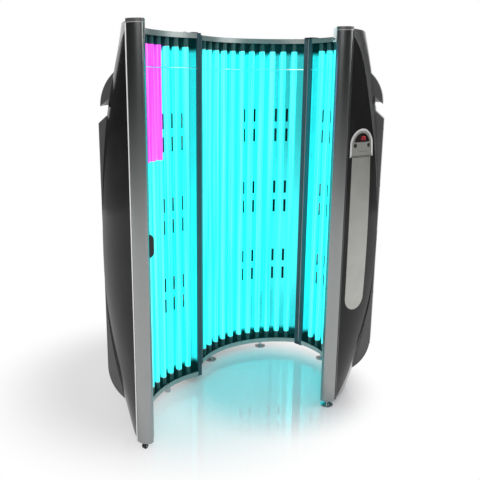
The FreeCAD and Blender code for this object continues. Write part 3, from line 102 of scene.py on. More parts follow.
BACK = Module("back", "root", BACK_CENTRE, 90, 1)
SIDE = Module("side", "root", SIDE_CENTRE, -WING_HEADING, -1)
DOOR = Module("door", "door", DOOR_CENTRE, 180 + WING_HEADING - DOOR_OPEN, 1)

# ---------------------------------------------------------------- camera ---
# The photograph's own camera, placed from the centre of the back module.
CAMERA_FROM_BACK = Vector((-2.285, -3.203, 1.923))
CAMERA_LOOK = Vector((0.4702, 0.8826, 0))
CAMERA_PITCH = math.radians(13.64)
FOCAL_PIXELS = 644.4
PHOTO_SIZE = 480
PRINCIPAL_POINT = (208.55, 237.6)
SENSOR_WIDTH = 36
FAR_CLIP = 200


def make_camera():
    """Camera at the photograph's place, angle and framing."""
    data = bpy.data.cameras.new("camera")
    data.sensor_width = SENSOR_WIDTH
    data.lens = SENSOR_WIDTH * FOCAL_PIXELS / PHOTO_SIZE
    data.shift_x = 0.5 - PRINCIPAL_POINT[0] / PHOTO_SIZE
    data.shift_y = PRINCIPAL_POINT[1] / PHOTO_SIZE - 0.5
    data.clip_end = FAR_CLIP
    camera = bpy.data.objects.new("camera", data)
    scene.collection.objects.link(camera)
    level = CAMERA_LOOK.normalized() * math.cos(CAMERA_PITCH)
    look = level - Vector((0, 0, math.sin(CAMERA_PITCH)))
    camera.location = BACK_CENTRE + CAMERA_FROM_BACK
    camera.rotation_euler = look.to_track_quat("-Z", "Y").to_euler()
    scene.camera = camera


# ------------------------------------------------------------- materials ---
# Most of a noise texture's values lie between these two.
NOISE_LOW, NOISE_HIGH = 0.3, 0.7
NOISE_ROUGHNESS = 0.55
CLOUD_SCALE, CLOUD_DETAIL = 9.0, 3.0
GRAIN_SCALE, GRAIN_DETAIL = 900.0, 2.0
COAT_ROUGHNESS = 0.04
# A tube's coating varies in bands that run along it.
BAND_SCALE, BAND_STRETCH = 70.0, (1, 1, 0.012)
TUBE_ROUGHNESS = (0.22, 0.34)
TUBE_GRAIN = 0.00001
# Past the ends of the lamps' glass the reflector's colour and glow are darkened as painted shade.
LAMP_LOW, LAMP_HIGH = (corner.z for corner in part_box("door_lamps"))
LAMP_END_PAINTED_SHADE = 0.06
LAMP_END_FADE = 0.035


class Nodes:
    """Short way to lay out one node tree."""

    def __init__(self, owner):
        owner.use_nodes = True
        self.tree = owner.node_tree
        self.tree.nodes.clear()

    def add(self, kind, **values):
        """New node, with values for its inputs or its own settings."""
        made = self.tree.nodes.new(kind)
        for name, value in values.items():
            if name in made.inputs:
                made.inputs[name].default_value = value
            else:
                setattr(made, name, value)
        return made

    def link(self, source, target):
        self.tree.links.new(source, target)

    def place(self):
        """The object's own coordinates, in metres."""
        return self.add("ShaderNodeTexCoord").outputs["Object"]

    def noise(self, scale, detail, stretch=(1, 1, 1)):
        """Noise, drawn out along an axis where the stretch is small."""
        mapping = self.add("ShaderNodeMapping")
        mapping.inputs["Scale"].default_value = stretch
        self.link(self.place(), mapping.inputs["Vector"])
        made = self.add("ShaderNodeTexNoise")
        made.inputs["Scale"].default_value = scale
        made.inputs["Detail"].default_value = detail
        made.inputs["Roughness"].default_value = NOISE_ROUGHNESS
        self.link(mapping.outputs["Vector"], made.inputs["Vector"])
        return made.outputs["Fac"]

    def spread(self, source, low, high, source_low=NOISE_LOW, source_high=NOISE_HIGH,
               smooth=False):
        """Value brought from the source's range to another."""
        made = self.add("ShaderNodeMapRange")
        made.interpolation_type = "SMOOTHSTEP" if smooth else "LINEAR"
        for name, value in (("From Min", source_low), ("From Max", source_high),
                            ("To Min", low), ("To Max", high)):
            made.inputs[name].default_value = value
        self.link(source, made.inputs["Value"])
        return made.outputs["Result"]

    def blend(self, source, first, second):
        """Colour between two colours."""
        made = self.add("ShaderNodeValToRGB")
        ends = ((NOISE_LOW, first), (NOISE_HIGH, second))
        for element, (position, colour) in zip(made.color_ramp.elements, ends):
            element.position = position
            element.color = (*colour, 1)
        self.link(source, made.inputs["Fac"])
        return made.outputs["Color"]

    def combine(self, operation, first, second):
        """Result of a maths node on two sources."""
        made = self.add("ShaderNodeMath", operation=operation)
        self.link(first, made.inputs[0])
        self.link(second, made.inputs[1])
        return made.outputs[0]

    def distance(self, centre):
        """Distance from a place to what is shaded."""
        made = self.add("ShaderNodeVectorMath", operation="DISTANCE")
        self.link(self.place(), made.inputs[0])
        made.inputs[1].default_value = centre
        return made.outputs["Value"]

    def height(self):
        """Height of what is shaded."""
        split = self.add("ShaderNodeSeparateXYZ")
        self.link(self.place(), split.inputs["Vector"])
        return split.outputs["Z"]

    def painted_glow_band(self, low, high):
        """Painted lamp light: 1 between two heights, falling past either of them to a dim value that is painted
        shade.
        """
        height = self.height()
        foot = self.spread(height, LAMP_END_PAINTED_SHADE, 1, low, low + LAMP_END_FADE, True)
        head = self.spread(height, 1, LAMP_END_PAINTED_SHADE, high - LAMP_END_FADE, high, True)
        return self.combine("MINIMUM", foot, head)

    def seen_directly(self):
        """1 for what the camera, a reflection or a clear pane shows, else 0."""
        path = self.add("ShaderNodeLightPath").outputs
        reflected = self.combine("MAXIMUM", path["Is Camera Ray"], path["Is Glossy Ray"])
        return self.combine("MAXIMUM", reflected, path["Is Transmission Ray"])

    def bump(self, source, height):
        """Normal bent by a source, with the bump's height in metres."""
        made = self.add("ShaderNodeBump", Strength=1.0, Distance=height)
        self.link(source, made.inputs["Height"])
        return made.outputs["Normal"]


def start_material(name):
    """Material with a principled shader, its nodes and the shader."""
    material = bpy.data.materials.new(name)
    nodes = Nodes(material)
    output = nodes.add("ShaderNodeOutputMaterial")
    shader = nodes.add("ShaderNodeBsdfPrincipled")
    nodes.link(shader.outputs["BSDF"], output.inputs["Surface"])
    return material, nodes, shader


def add_grain(nodes, shader, scale, stretch, roughness, grain):
    """Fine noise in a shader's roughness and, where grain isn't 0, its normal."""
    fine = nodes.noise(scale, GRAIN_DETAIL, stretch)
    nodes.link(nodes.spread(fine, *roughness), shader.inputs["Roughness"])
    if grain:
        nodes.link(nodes.bump(fine, grain), shader.inputs["Normal"])


def shade(colour, share):
    """Colour made darker or lighter, within what a colour can be."""
    return tuple(min(1.0, max(0.0, part * share)) for part in colour)


def finish_material(name, colour, metallic=0.0, roughness=0.4, rough_spread=0.05,
                    variation=0.06, grain=0.0, grain_scale=GRAIN_SCALE, stretch=(1, 1, 1),
                    coat=0.0, specular=0.5, glow=0.0, painted_glow_heights=None):
    """Painted, moulded or metal surface with slight variation and grain.

    A surface with a glow gets painted lamp light, in its emission and colour, between two heights and painted
    shade beyond them.
    """
    material, nodes, shader = start_material(name)
    shader.inputs["Metallic"].default_value = metallic
    shader.inputs["Coat Weight"].default_value = coat
    shader.inputs["Coat Roughness"].default_value = COAT_ROUGHNESS
    shader.inputs["Specular IOR Level"].default_value = specular
    cloud = nodes.noise(CLOUD_SCALE, CLOUD_DETAIL)
    colours = nodes.blend(cloud, shade(colour, 1 - variation), shade(colour, 1 + variation))
    if glow:
        painted_glow_and_shade = nodes.add("ShaderNodeMixRGB", blend_type="MULTIPLY", Fac=1.0)
        nodes.link(colours, painted_glow_and_shade.inputs["Color1"])
        nodes.link(nodes.painted_glow_band(*painted_glow_heights), painted_glow_and_shade.inputs["Color2"])
        colours = painted_glow_and_shade.outputs["Color"]
        nodes.link(colours, shader.inputs["Emission Color"])
        shader.inputs["Emission Strength"].default_value = glow
    nodes.link(colours, shader.inputs["Base Color"])
    ends = (roughness - rough_spread, roughness + rough_spread)
    add_grain(nodes, shader, grain_scale, stretch, ends, grain)
    return material


def tube_material(name, deep, bright, strength):
    """Surface that glows, between two colours in bands."""
    material, nodes, shader = start_material(name)
    shader.inputs["Emission Strength"].default_value = strength
    tint = nodes.blend(nodes.noise(BAND_SCALE, GRAIN_DETAIL, BAND_STRETCH), deep, bright)
    nodes.link(tint, shader.inputs["Emission Color"])
    nodes.link(tint, shader.inputs["Base Color"])
    add_grain(nodes, shader, GRAIN_SCALE, (1, 1, 1), TUBE_ROUGHNESS, TUBE_GRAIN)
    return material


# The record's slots come first, then the finishes of the scene's own trim.
FINISHES = {
    "shell_silver": dict(
        colour=(0.36, 0.365, 0.37), metallic=0.9, roughness=0.27, variation=0.03,
        grain=0.00002, grain_scale=1400),
    "gloss_panel": dict(
        colour=(0.011, 0.011, 0.0115), roughness=0.13, rough_spread=0.02, variation=0.2,
        grain=0.000001, grain_scale=120, specular=0.25),
    "fairing_charcoal": dict(
        colour=(0.09, 0.09, 0.091), metallic=0.3, roughness=0.3, grain=0.00002, coat=0.3),
    "pillar_silver": dict(
        colour=(0.325, 0.335, 0.335), metallic=1.0, roughness=0.26, rough_spread=0.012,
        variation=0.02, grain=0.000003, stretch=(1, 1, 0.02)),
    "end_cap": dict(colour=(0.16, 0.16, 0.158), metallic=0.6, roughness=0.35, grain=0.00002),
    "rail_grey": dict(colour=(0.4, 0.41, 0.4), metallic=0.7, roughness=0.3, grain=0.00002),
    "post_slate": dict(
        colour=(0.05, 0.095, 0.11), metallic=0.5, roughness=0.38, grain=0.00002),
    # The reflector's cyan colour is painted reflection of the lamps, its glow is painted lamp light and its dark
    # ends are painted shade.
    "reflector": dict(
        colour=(0.06, 0.84, 0.86), metallic=0.85, roughness=0.22, rough_spread=0.02,
        variation=0.03, grain=0.000003, stretch=(1, 1, 0.02), glow=0.3,
        painted_glow_heights=(LAMP_LOW, LAMP_HIGH)),
    "lamp_metal": dict(colour=(0.5, 0.6, 0.6), metallic=1.0, roughness=0.3, grain=0.00001),
    # The lamp holders' dark teal is painted shade at the lamps' ends, tinted as painted cyan lamp light.
    "holder": dict(colour=(0.012, 0.07, 0.07), roughness=0.45, grain=0.00003),
    "rod": dict(
        colour=(0.85, 0.87, 0.88), metallic=1.0, roughness=0.12, rough_spread=0.02,
        grain=0.000006),
    # The ballasts are white enamel; their near-black teal is painted shade inside the cover.
    "ballast": dict(colour=(0.008, 0.02, 0.02), roughness=0.6, grain=0.00003, specular=0.1),
    "fan_black": dict(colour=(0.02, 0.02, 0.022), roughness=0.5, grain=0.00004),
    "black_steel": dict(
        colour=(0.03, 0.032, 0.035), metallic=0.3, roughness=0.4, grain=0.00003),
    "steel": dict(colour=(0.55, 0.56, 0.57), metallic=1.0, roughness=0.28, grain=0.00001),
    "foot_nylon": dict(colour=(0.5, 0.51, 0.52), metallic=1.0, roughness=0.2, grain=0.00001),
    "tyre_rubber": dict(colour=(0.02, 0.02, 0.02), roughness=0.65, grain=0.00006),
    "panel_steel": dict(
        colour=(0.46, 0.465, 0.435), metallic=0.85, roughness=0.36, rough_spread=0.08,
        variation=0.05, grain=0.00002, grain_scale=1500, stretch=(1, 1, 0.04)),
    "display": dict(
        colour=(0.006, 0.003, 0.003), roughness=0.08, rough_spread=0.02, grain=0.000002,
        coat=1.0),
    "board_green": dict(colour=(0.02, 0.12, 0.05), roughness=0.5, grain=0.00002),
    "button_black": dict(colour=(0.012, 0.012, 0.014), roughness=0.4, grain=0.00003),
    "back_silver": dict(
        colour=(0.38, 0.385, 0.39), metallic=0.8, roughness=0.33, variation=0.03,
        grain=0.00003),

    # Near-white, hardly metallic trim: painted highlight on the door's seam strip, the panel edges and the bezel
    # rim.
    "painted_highlight_trim": dict(
        colour=(0.96, 0.96, 0.96), metallic=0.05, roughness=0.2, rough_spread=0.04,
        grain=0.000006),
    "dark_trim": dict(colour=(0.09, 0.09, 0.09), metallic=0.9, roughness=0.3, grain=0.00001),
    "satin_trim": dict(
        colour=(0.62, 0.62, 0.61), metallic=0.9, roughness=0.25, grain=0.00001),
    "screw_zinc": dict(
        colour=(0.45, 0.46, 0.47), metallic=1.0, roughness=0.3, grain=0.00001),
    "screw_black": dict(colour=(0.02, 0.02, 0.021), metallic=0.4, roughness=0.4),
    # Dark sheet inside the back cover: painted shade.
    "shade_sheet": dict(colour=(0.008, 0.016, 0.016), roughness=0.7, grain=0.00004, specular=0.1),
    "white_enamel": dict(colour=(0.9, 0.9, 0.9), roughness=0.3, grain=0.00001),
    "seal_rubber": dict(colour=(0.012, 0.012, 0.013), roughness=0.6, grain=0.00003),
    "louvre_black": dict(colour=(0.014, 0.014, 0.015), roughness=0.5, grain=0.00003),
}
GLOWS = {
    "lamp_glass": dict(deep=(0.0, 0.7, 0.72), bright=(0.13, 1.0, 1.0), strength=0.7),
    "sleeve": dict(deep=(0.62, 0.015, 0.56), bright=(1.0, 0.17, 1.0), strength=0.75),
    "digit_red": dict(deep=(0.5, 0.012, 0.025), bright=(0.8, 0.04, 0.06), strength=0.45),
}
MATERIALS = {name: finish_material(name, **look) for name, look in FINISHES.items()}
MATERIALS |= {name: tube_material(name, **look) for name, look in GLOWS.items()}


def dress_nodes():
    """Give each CAD node the material of its slot."""
    for part in frame["record"]["subparts"]:
        node = NODES[part["node"]]
        node.data.materials.clear()
        node.data.materials.append(MATERIALS[part["material_slot"]])


# --------------------------------------------------- ways to make pieces ---
SMOOTH_ANGLE = math.radians(40)
CREASE_ANGLE = math.radians(35)
WELD_DISTANCE = 0.00002
TUBE_SIDES, SPIN_SIDES, RING_SIDES = 8, 20, 32
# A run whose direction has more than this much height counts as upright.
UPRIGHT = 0.99
# A screw head with a round socket: shares of its radius, and heights.
SCREW_SHAPE = ((1, -0.0004), (1, 0.0006), (0.86, 0.0013), (0.5, 0.0017), (0.42, 0.0017),
               (0.38, 0.0006))


def add_piece(name, shape, finish, body):
    """Object from a bmesh, riding on a body."""
    bmesh.ops.recalc_face_normals(shape, faces=shape.faces)
    mesh = bpy.data.meshes.new(name)
    shape.to_mesh(mesh)
    shape.free()
    mesh.materials.append(MATERIALS[finish])
    for face in mesh.polygons:
        face.use_smooth = True
    piece = bpy.data.objects.new(name, mesh)
    scene.collection.objects.link(piece)
    mesh.set_sharp_from_angle(angle=SMOOTH_ANGLE)
    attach(piece, body)


def node_shape(name):
    """Copy of a node's mesh with its seams closed."""
    shape = bmesh.new()
    shape.from_mesh(NODES[name].data)
    bmesh.ops.remove_doubles(shape, verts=shape.verts, dist=WELD_DISTANCE)
    shape.normal_update()
    return shape


def crease_lines(name, wanted):
    """Chains of points along a node's sharp edges that a test accepts.

    Each chain comes with whether it is closed.
    """
    shape = node_shape(name)
    links = {}
    for edge in shape.edges:
        if len(edge.link_faces) != 2 or edge.calc_face_angle() < CREASE_ANGLE:
            continue
        if wanted(edge):
            first, second = edge.verts
            links.setdefault(first.index, []).append(second.index)
            links.setdefault(second.index, []).append(first.index)
    places = {vert.index: vert.co.copy() for vert in shape.verts}
    shape.free()
    lines = []
    free = set(links)
    ends = sorted(index for index in links if len(links[index]) == 1)
    for start in ends + sorted(links):
        if start not in free:
            continue
        chain = [start]
        free.discard(start)
        while True:
            onward = [index for index in links[chain[-1]] if index in free]
            if not onward:
                break
            chain.append(onward[0])
            free.discard(onward[0])
        closed = len(chain) > 2 and chain[0] in links[chain[-1]]
        if len(chain) > 1:
            lines.append(([places[index] for index in chain], closed))
    return lines


def moved(lines, shift_at):
    """Chains of points, each point moved by what a function gives for it."""
    return [([point + shift_at(point) for point in points], closed)
            for points, closed in lines]


def loft(shape, rings, closed=False):
    """Faces from each ring of points to the next, with ends unless it is closed."""
    following = rings[1:] + rings[:1] if closed else rings[1:]
    for first, second in zip(rings, following):
        for step in range(len(first)):
            after = (step + 1) % len(first)
            shape.faces.new((first[step], first[after], second[after], second[step]))
    if not closed:
        shape.faces.new(tuple(reversed(rings[0])))
        shape.faces.new(rings[-1])


def sweep_tube(shape, points, closed, across, rise, sides=TUBE_SIDES):
    """Tube with an oval section along a chain of points."""
    rings = []
    count = len(points)
    for index, point in enumerate(points):
        before = points[index - 1] if index or closed else point
        after = points[(index + 1) % count] if index < count - 1 or closed else point
        run = (after - before).normalized()
        side = run.orthogonal() if abs(run.z) > UPRIGHT else run.cross(-DOWN)
        side.normalize()
        top = side.cross(run).normalized()
        ring = []
        for step in range(sides):
            turn = math.tau * step / sides
            spot = point + side * across * math.cos(turn) + top * rise * math.sin(turn)
            ring.append(shape.verts.new(spot))
        rings.append(ring)
    loft(shape, rings, closed)


def bead(name, lines, radius, finish, body):
    """Thin round trim along chains of points."""
    shape = bmesh.new()
    for points, closed in lines:
        sweep_tube(shape, points, closed, radius, radius)
    add_piece(name, shape, finish, body)


def turned_rings(shape, profile, place, normal, sides):
    """Rings of points from radius-height points, about the normal at a place."""
    up = normal.normalized()
    side = up.orthogonal().normalized()
    other = up.cross(side)
    rings = []
    for radius, height in profile:
        ring = []
        for step in range(sides):
            angle = math.tau * step / sides
            spot = side * radius * math.cos(angle) + other * radius * math.sin(angle)
            ring.append(shape.verts.new(place + spot + up * height))
        rings.append(ring)
    return rings


def spin_profile(shape, profile, place, normal):
    """Round piece turned from a radius-height profile, standing on a place."""
    loft(shape, turned_rings(shape, profile, place, normal, SPIN_SIDES))


def spin_ring(shape, outline, place, normal):
    """Ring turned from a closed radius-height outline."""
    loft(shape, turned_rings(shape, outline, place, normal, RING_SIDES), closed=True)


def screws(name, spots, radius, finish, body):
    """One piece of screw heads at points with their normals."""
    profile = [(radius * share, height) for share, height in SCREW_SHAPE]
    shape = bmesh.new()
    for point, normal in spots:
        spin_profile(shape, profile, point, normal)
    add_piece(name, shape, finish, body)


class Surface:
    """Faces of a node, for setting small pieces on it."""

    def __init__(self, name):
        shape = bmesh.new()
        shape.from_mesh(NODES[name].data)
        self.tree = BVHTree.FromBMesh(shape)
        shape.free()

    def hit(self, start, direction):
        """Point and outward normal where a ray first meets the node."""
        point, normal, _, _ = self.tree.ray_cast(start, direction)
        if point is None:
            return None
        return point, normal if normal.dot(direction) < 0 else -normal


def level_direction(centre, point):
    """Level unit vector from a centre towards a point."""
    return Vector((point.x - centre.x, point.y - centre.y, 0)).normalized()


# --------------------------------------------------------------- modules ---
# Angles are in degrees from a module's front end, heights are from its rails'
# foot, and rays towards a module's skin start at REACH from its centre.
REACH = 1.2
# Places closer in height than this are level with each other.
LEVEL_SLACK = 0.0005
PILLAR_RADIUS = RAIL_INNER + MODULE_DEPTH
COVER_END = 82.0
FAIRING_START, FAIRING_END = 20.0, 67.0
FAIRING_LOW, FAIRING_HIGH = 0.30, 1.62

STRIP_SECTION = ((-0.0065, 0), (-0.0055, 0.0016), (-0.002, 0.0026), (0.002, 0.0026),
                 (0.0055, 0.0016), (0.0065, 0))
STRIP_LIFT = 0.0002
STRIP_FOOT_GAP, STRIP_HEAD_GAP = 0.006, 0.012

LEAF_START, LEAF_END = math.radians(1.5), math.radians(19.2)
LEAF_LEAST_OUTWARD, LEAF_LEAST_REARWARD = 0.7, 0.6
LEAF_EDGE_SINK, LEAF_EDGE_RADIUS = 0.0017, 0.0016

CAP_LINE_RADIUS, CAP_EDGE_RADIUS = 0.0018, 0.001

SKIN_SCREW_RADIUS, FAIRING_SCREW_RADIUS, PLATE_SCREW_RADIUS = 0.004, 0.0045, 0.005
COVER_SCREW_ANGLES = (COVER_END - 4,)
COVER_SCREW_HEIGHTS = [0.12 + 0.24 * step for step in range(9)]
FAIRING_SCREW_ANGLES = (FAIRING_START + 1.4, FAIRING_END - 4.5)
FAIRING_SCREW_HEIGHTS = [
    FAIRING_LOW + (FAIRING_HIGH - FAIRING_LOW) * step / 4 for step in range(5)]
BACK_SCREW_ANGLES = (5.0, 81.1)
BACK_SCREW_HEIGHTS = [0.1 + 0.245 * step for step in range(9)]

LOUVRE_HEIGHTS = [1.702 + 0.013 * level for level in range(4)]
LOUVRE_INSET = 3
LOUVRE_STEPS = 24
LOUVRE_DEPTH, LOUVRE_RISE = 0.0035, 0.002

# Plates that lie on the rails, with the body of each, and the shares of their
# boxes at which screws are tried.
PLATES = {"corner_plates": "root", "fixed_hinge_leaves": "root", "door_hinge_leaves": "door"}
PLATE_SHARES_X, PLATE_SHARES_Y = (0.22, 0.5, 0.78), (0.2, 0.5, 0.8)
PLATE_RAY_HEIGHT = 0.1
PLATE_TOP_DEPTH = 0.02
SCREW_ROOM = 0.009

# The dark sheet, painted shade behind the slots, keeps these distances from the cover, and these insets in degrees
# and in height from the module's ends. The cover's radius is measured at the probe.
LINER_OUTER_GAP, LINER_INNER_GAP = 0.001, 0.004
LINER_INSET, LINER_MARGIN = 6.0, 0.12
LINER_STEPS = 48
LINER_PROBE_ANGLE, LINER_PROBE_HEIGHT = 12.0, 1.0

BRACKET_DROP, BRACKET_HEIGHT = 0.002, 0.074
BRACKET_INNER, BRACKET_OUTER = 0.568, 0.5885
BRACKET_FRONT, BRACKET_REAR = -1.2, -0.9
KNOB_SHAPE = ((0.006, -0.001), (0.008, 0.002), (0.008, 0.007), (0.0065, 0.009),
              (0.003, 0.0098))
KNOB_AT_RADIUS, KNOB_DROP = 0.574, 0.06


def make_seam_strip(module, finish):
    """Strip over the seam between a pillar and its gloss panel."""
    shape = bmesh.new()
    outward, onward = module.outward(0), module.onward(0)
    base = module.centre + outward * (PILLAR_RADIUS + STRIP_LIFT)
    rings = []
    for z in (RAIL_FOOT + STRIP_FOOT_GAP, RAIL_HEAD - STRIP_HEAD_GAP):
        rings.append([
            shape.verts.new(base + onward * across + outward * rise + Vector((0, 0, z)))
            for across, rise in STRIP_SECTION])
    loft(shape, rings)
    add_piece(module.name + "_seam_strip", shape, finish, module.body)


def make_leaf_trim(module):
    """Bead along the gloss panel's edge, on its rear side, whose near-white is a painted highlight."""

    def wanted(edge):
        radial = level_direction(module.centre, (edge.verts[0].co + edge.verts[1].co) / 2)
        rearward = Vector((radial.y, -radial.x, 0)) * module.hand
        outward_share = max(face.normal.dot(radial) for face in edge.link_faces)
        rearward_share = max(face.normal.dot(rearward) for face in edge.link_faces)
        return (outward_share > LEAF_LEAST_OUTWARD and rearward_share > LEAF_LEAST_REARWARD
                and LEAF_START < radial.angle(module.outward(0)) < LEAF_END)

    lines = moved(crease_lines(module.name + "_lens", wanted),
                  lambda point: level_direction(module.centre, point) * -LEAF_EDGE_SINK)
    bead(module.name + "_panel_edge", lines, LEAF_EDGE_RADIUS, "painted_highlight_trim",
         module.body)


def make_cap_lines(module):
    """Light bead under a pillar's cap and a fine edge round its top."""
    name = module.name + "_pillar_cap"
    low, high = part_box(name)

    def lines_at(z):
        return crease_lines(
            name, lambda edge: all(abs(vert.co.z - z) < LEVEL_SLACK for vert in edge.verts))

    bead(module.name + "_cap_line", lines_at(low.z), CAP_LINE_RADIUS, "satin_trim",
         module.body)
    lines = moved(lines_at(high.z), lambda point: DOWN * CAP_EDGE_RADIUS)
    bead(module.name + "_cap_edge", lines, CAP_EDGE_RADIUS, "satin_trim", module.body)


def skin_hit(surface, module, along, height):
    """Where a level ray from outside meets a module's skin."""
    start = module.at(REACH, along, RAIL_FOOT + height)
    return surface.hit(start, -module.outward(along))


def make_skin_screws(name, module, angles, heights, radius, finish):
    """Screws on a node of a module, at angles and heights."""
    surface = Surface(name)
    found = [skin_hit(surface, module, along, height) for along in angles for height in heights]
    screws(name + "_screws", [spot for spot in found if spot], radius, finish, module.body)


def make_louvres(module):
    """Slats of the air outlet on the skin between fairing and cowl."""
    cover = Surface(module.name + "_cover")
    first = FAIRING_START + LOUVRE_INSET
    sweep = FAIRING_END - FAIRING_START - 2 * LOUVRE_INSET
    shape = bmesh.new()
    for height in LOUVRE_HEIGHTS:
        points = [skin_hit(cover, module, first + sweep * step / LOUVRE_STEPS, height)[0]
                  for step in range(LOUVRE_STEPS + 1)]
        sweep_tube(shape, points, False, LOUVRE_DEPTH, LOUVRE_RISE)
    add_piece(module.name + "_outlet_louvres", shape, "louvre_black", module.body)


def level_around(surface, start, z):
    """Whether the face under a place is level for a screw head's width round it."""
    for shift in ((SCREW_ROOM, 0, 0), (-SCREW_ROOM, 0, 0), (0, SCREW_ROOM, 0),
                  (0, -SCREW_ROOM, 0)):
        beside = surface.hit(start + Vector(shift), DOWN)
        if not beside or abs(beside[0].z - z) >= LEVEL_SLACK:
            return False
    return True


def make_plate_screws():
    """Screws that hold the corner plates and the hinge leaves, on their tops."""
    for name, body in PLATES.items():
        surface = Surface(name)
        low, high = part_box(name)
        spots = []
        for share_x in PLATE_SHARES_X:
            for share_y in PLATE_SHARES_Y:
                start = Vector((low.x + (high.x - low.x) * share_x,
                                low.y + (high.y - low.y) * share_y,
                                high.z + PLATE_RAY_HEIGHT))
                found = surface.hit(start, DOWN)
                if (found and found[0].z > high.z - PLATE_TOP_DEPTH
                        and level_around(surface, start, found[0].z)):
                    spots.append(found)
        if spots:
            screws(name + "_screws", spots, PLATE_SCREW_RADIUS, "screw_zinc", body)


def make_back_shade_sheet():
    """Dark sheet against the inside of the back cover, as painted shade behind its slots."""
    start = BACK.at(0, 0, RAIL_FOOT + LINER_PROBE_HEIGHT)
    inner, _ = Surface("back_cover").hit(start, BACK.outward(LINER_PROBE_ANGLE))
    radius = (inner - BACK_CENTRE).xy.length
    low, high = RAIL_FOOT + LINER_MARGIN, RAIL_HEAD - LINER_MARGIN
    section = ((LINER_INNER_GAP, low), (LINER_INNER_GAP, high), (LINER_OUTER_GAP, high),
               (LINER_OUTER_GAP, low))
    shape = bmesh.new()
    rings = []
    for step in range(LINER_STEPS + 1):
        along = LINER_INSET + (MODULE_SWEEP - 2 * LINER_INSET) * step / LINER_STEPS
        rings.append([shape.verts.new(BACK.at(radius - gap, along, z)) for gap, z in section])
    loft(shape, rings)
    add_piece("back_shade_sheet", shape, "shade_sheet", "root")


def make_top_bracket():
    """White bracket and knob beside the side pillar, on the rail's end."""
    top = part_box("side_pillar_cap")[1].z - BRACKET_DROP
    corners = ((BRACKET_INNER, BRACKET_FRONT), (BRACKET_OUTER, BRACKET_FRONT),
               (BRACKET_OUTER, BRACKET_REAR), (BRACKET_INNER, BRACKET_REAR))
    shape = bmesh.new()
    loft(shape, [[shape.verts.new(SIDE.at(radius, along, z)) for radius, along in corners]
                 for z in (top - BRACKET_HEIGHT, top)])
    add_piece("side_top_bracket", shape, "white_enamel", "root")
    shape = bmesh.new()
    place = SIDE.at(KNOB_AT_RADIUS, BRACKET_FRONT, top - KNOB_DROP)
    spin_profile(shape, KNOB_SHAPE, place, -SIDE.onward(BRACKET_FRONT))
    add_piece("side_bracket_knob", shape, "satin_trim", "root")


# --------------------------------------------------------- control panel ---
# Rays towards the panel's nodes start this far in front of them.
FACE_REACH = 0.2

# The two ends of each stroke, in units of half a digit's width.
SEGMENTS = {
    "top": ((-1, 2), (1, 2)), "high_left": ((-1, 2), (-1, 0)), "high_right": ((1, 2), (1, 0)),
    "middle": ((-1, 0), (1, 0)), "low_left": ((-1, 0), (-1, -2)),
    "low_right": ((1, 0), (1, -2)), "bottom": ((-1, -2), (1, -2)),
}
DIGITS = {
    "0": ("top", "high_left", "high_right", "low_left", "low_right", "bottom"),
    "1": ("high_right", "low_right"),
    "2": ("top", "high_right", "middle", "low_left", "bottom"),
}
READING = "120"
READING_SHARE_UP = 0.42
DIGIT_UNIT = 0.0047
DIGIT_PITCH = 3.4 * DIGIT_UNIT
DIGIT_LIFT = 0.0004
STROKE_TRIM, STROKE_RADIUS = 0.25 * DIGIT_UNIT, 0.2 * DIGIT_UNIT
STROKE_SIDES = 6

# The bezel's rim runs between its front and its sides, and counts as its foot
# below BEZEL_FOOT. Lines shorter than TALL_SHARE of the tallest are left bare.
BEZEL_FOOT = 0.02
RIM_LEAST_FRONT, RIM_MOST_SIDE = 0.8, 0.35
TALL_SHARE = 0.8
RIM_SINK, RIM_RADIUS, FOOT_LINE_RADIUS = 0.0006, 0.0014, 0.0016

BUTTONS = {"start_button": "start_press", "stop_button": "stop_press"}
BUTTON_RAY_LENGTH = 0.1
BUTTON_RAY_ASIDE = 0.0105
BUTTON_RING = ((0.0118, 0.0), (0.0118, 0.0012), (0.0106, 0.0018), (0.0092, 0.0012),
               (0.0092, 0.0))

DOTS_SHARE_UP = 0.2
DOT_STEPS = (-2, -1, 0, 1, 2)
DOT_PITCH = 0.014
DOT_SHAPE = ((0.0028, -0.0003), (0.0028, 0.0003), (0.002, 0.0006))


class Face:
    """Front of a node on the control panel."""

    def __init__(self, name, share_up=0.5):
        low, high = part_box(name)
        middle = (low + high) / 2
        middle.z = low.z + (high.z - low.z) * share_up
        self.surface = Surface(name)
        self.out = level_direction(SIDE.centre, middle)
        self.right = Vector((-self.out.y, self.out.x, 0))
        self.start = middle + self.out * FACE_REACH

    def place(self, right, up):
        """Point and normal on the front, at distances from its middle."""
        return self.surface.hit(self.start + self.right * right + Vector((0, 0, up)), -self.out)


def make_digits():
    """Seven-segment reading on the display window."""
    face = Face("display_window", READING_SHARE_UP)
    first = -DIGIT_PITCH * (len(READING) - 1) / 2
    shape = bmesh.new()
    for index, digit in enumerate(READING):
        for segment in DIGITS[digit]:
            ends = []
            for across, up in SEGMENTS[segment]:
                point, normal = face.place(
                    first + DIGIT_PITCH * index + across * DIGIT_UNIT, up * DIGIT_UNIT)
                ends.append(point + normal * DIGIT_LIFT)
            trim = (ends[1] - ends[0]).normalized() * STROKE_TRIM
            sweep_tube(shape, [ends[0] + trim, ends[1] - trim], False, STROKE_RADIUS,
                       STROKE_RADIUS, STROKE_SIDES)
    add_piece("display_digits", shape, "digit_red", "root")


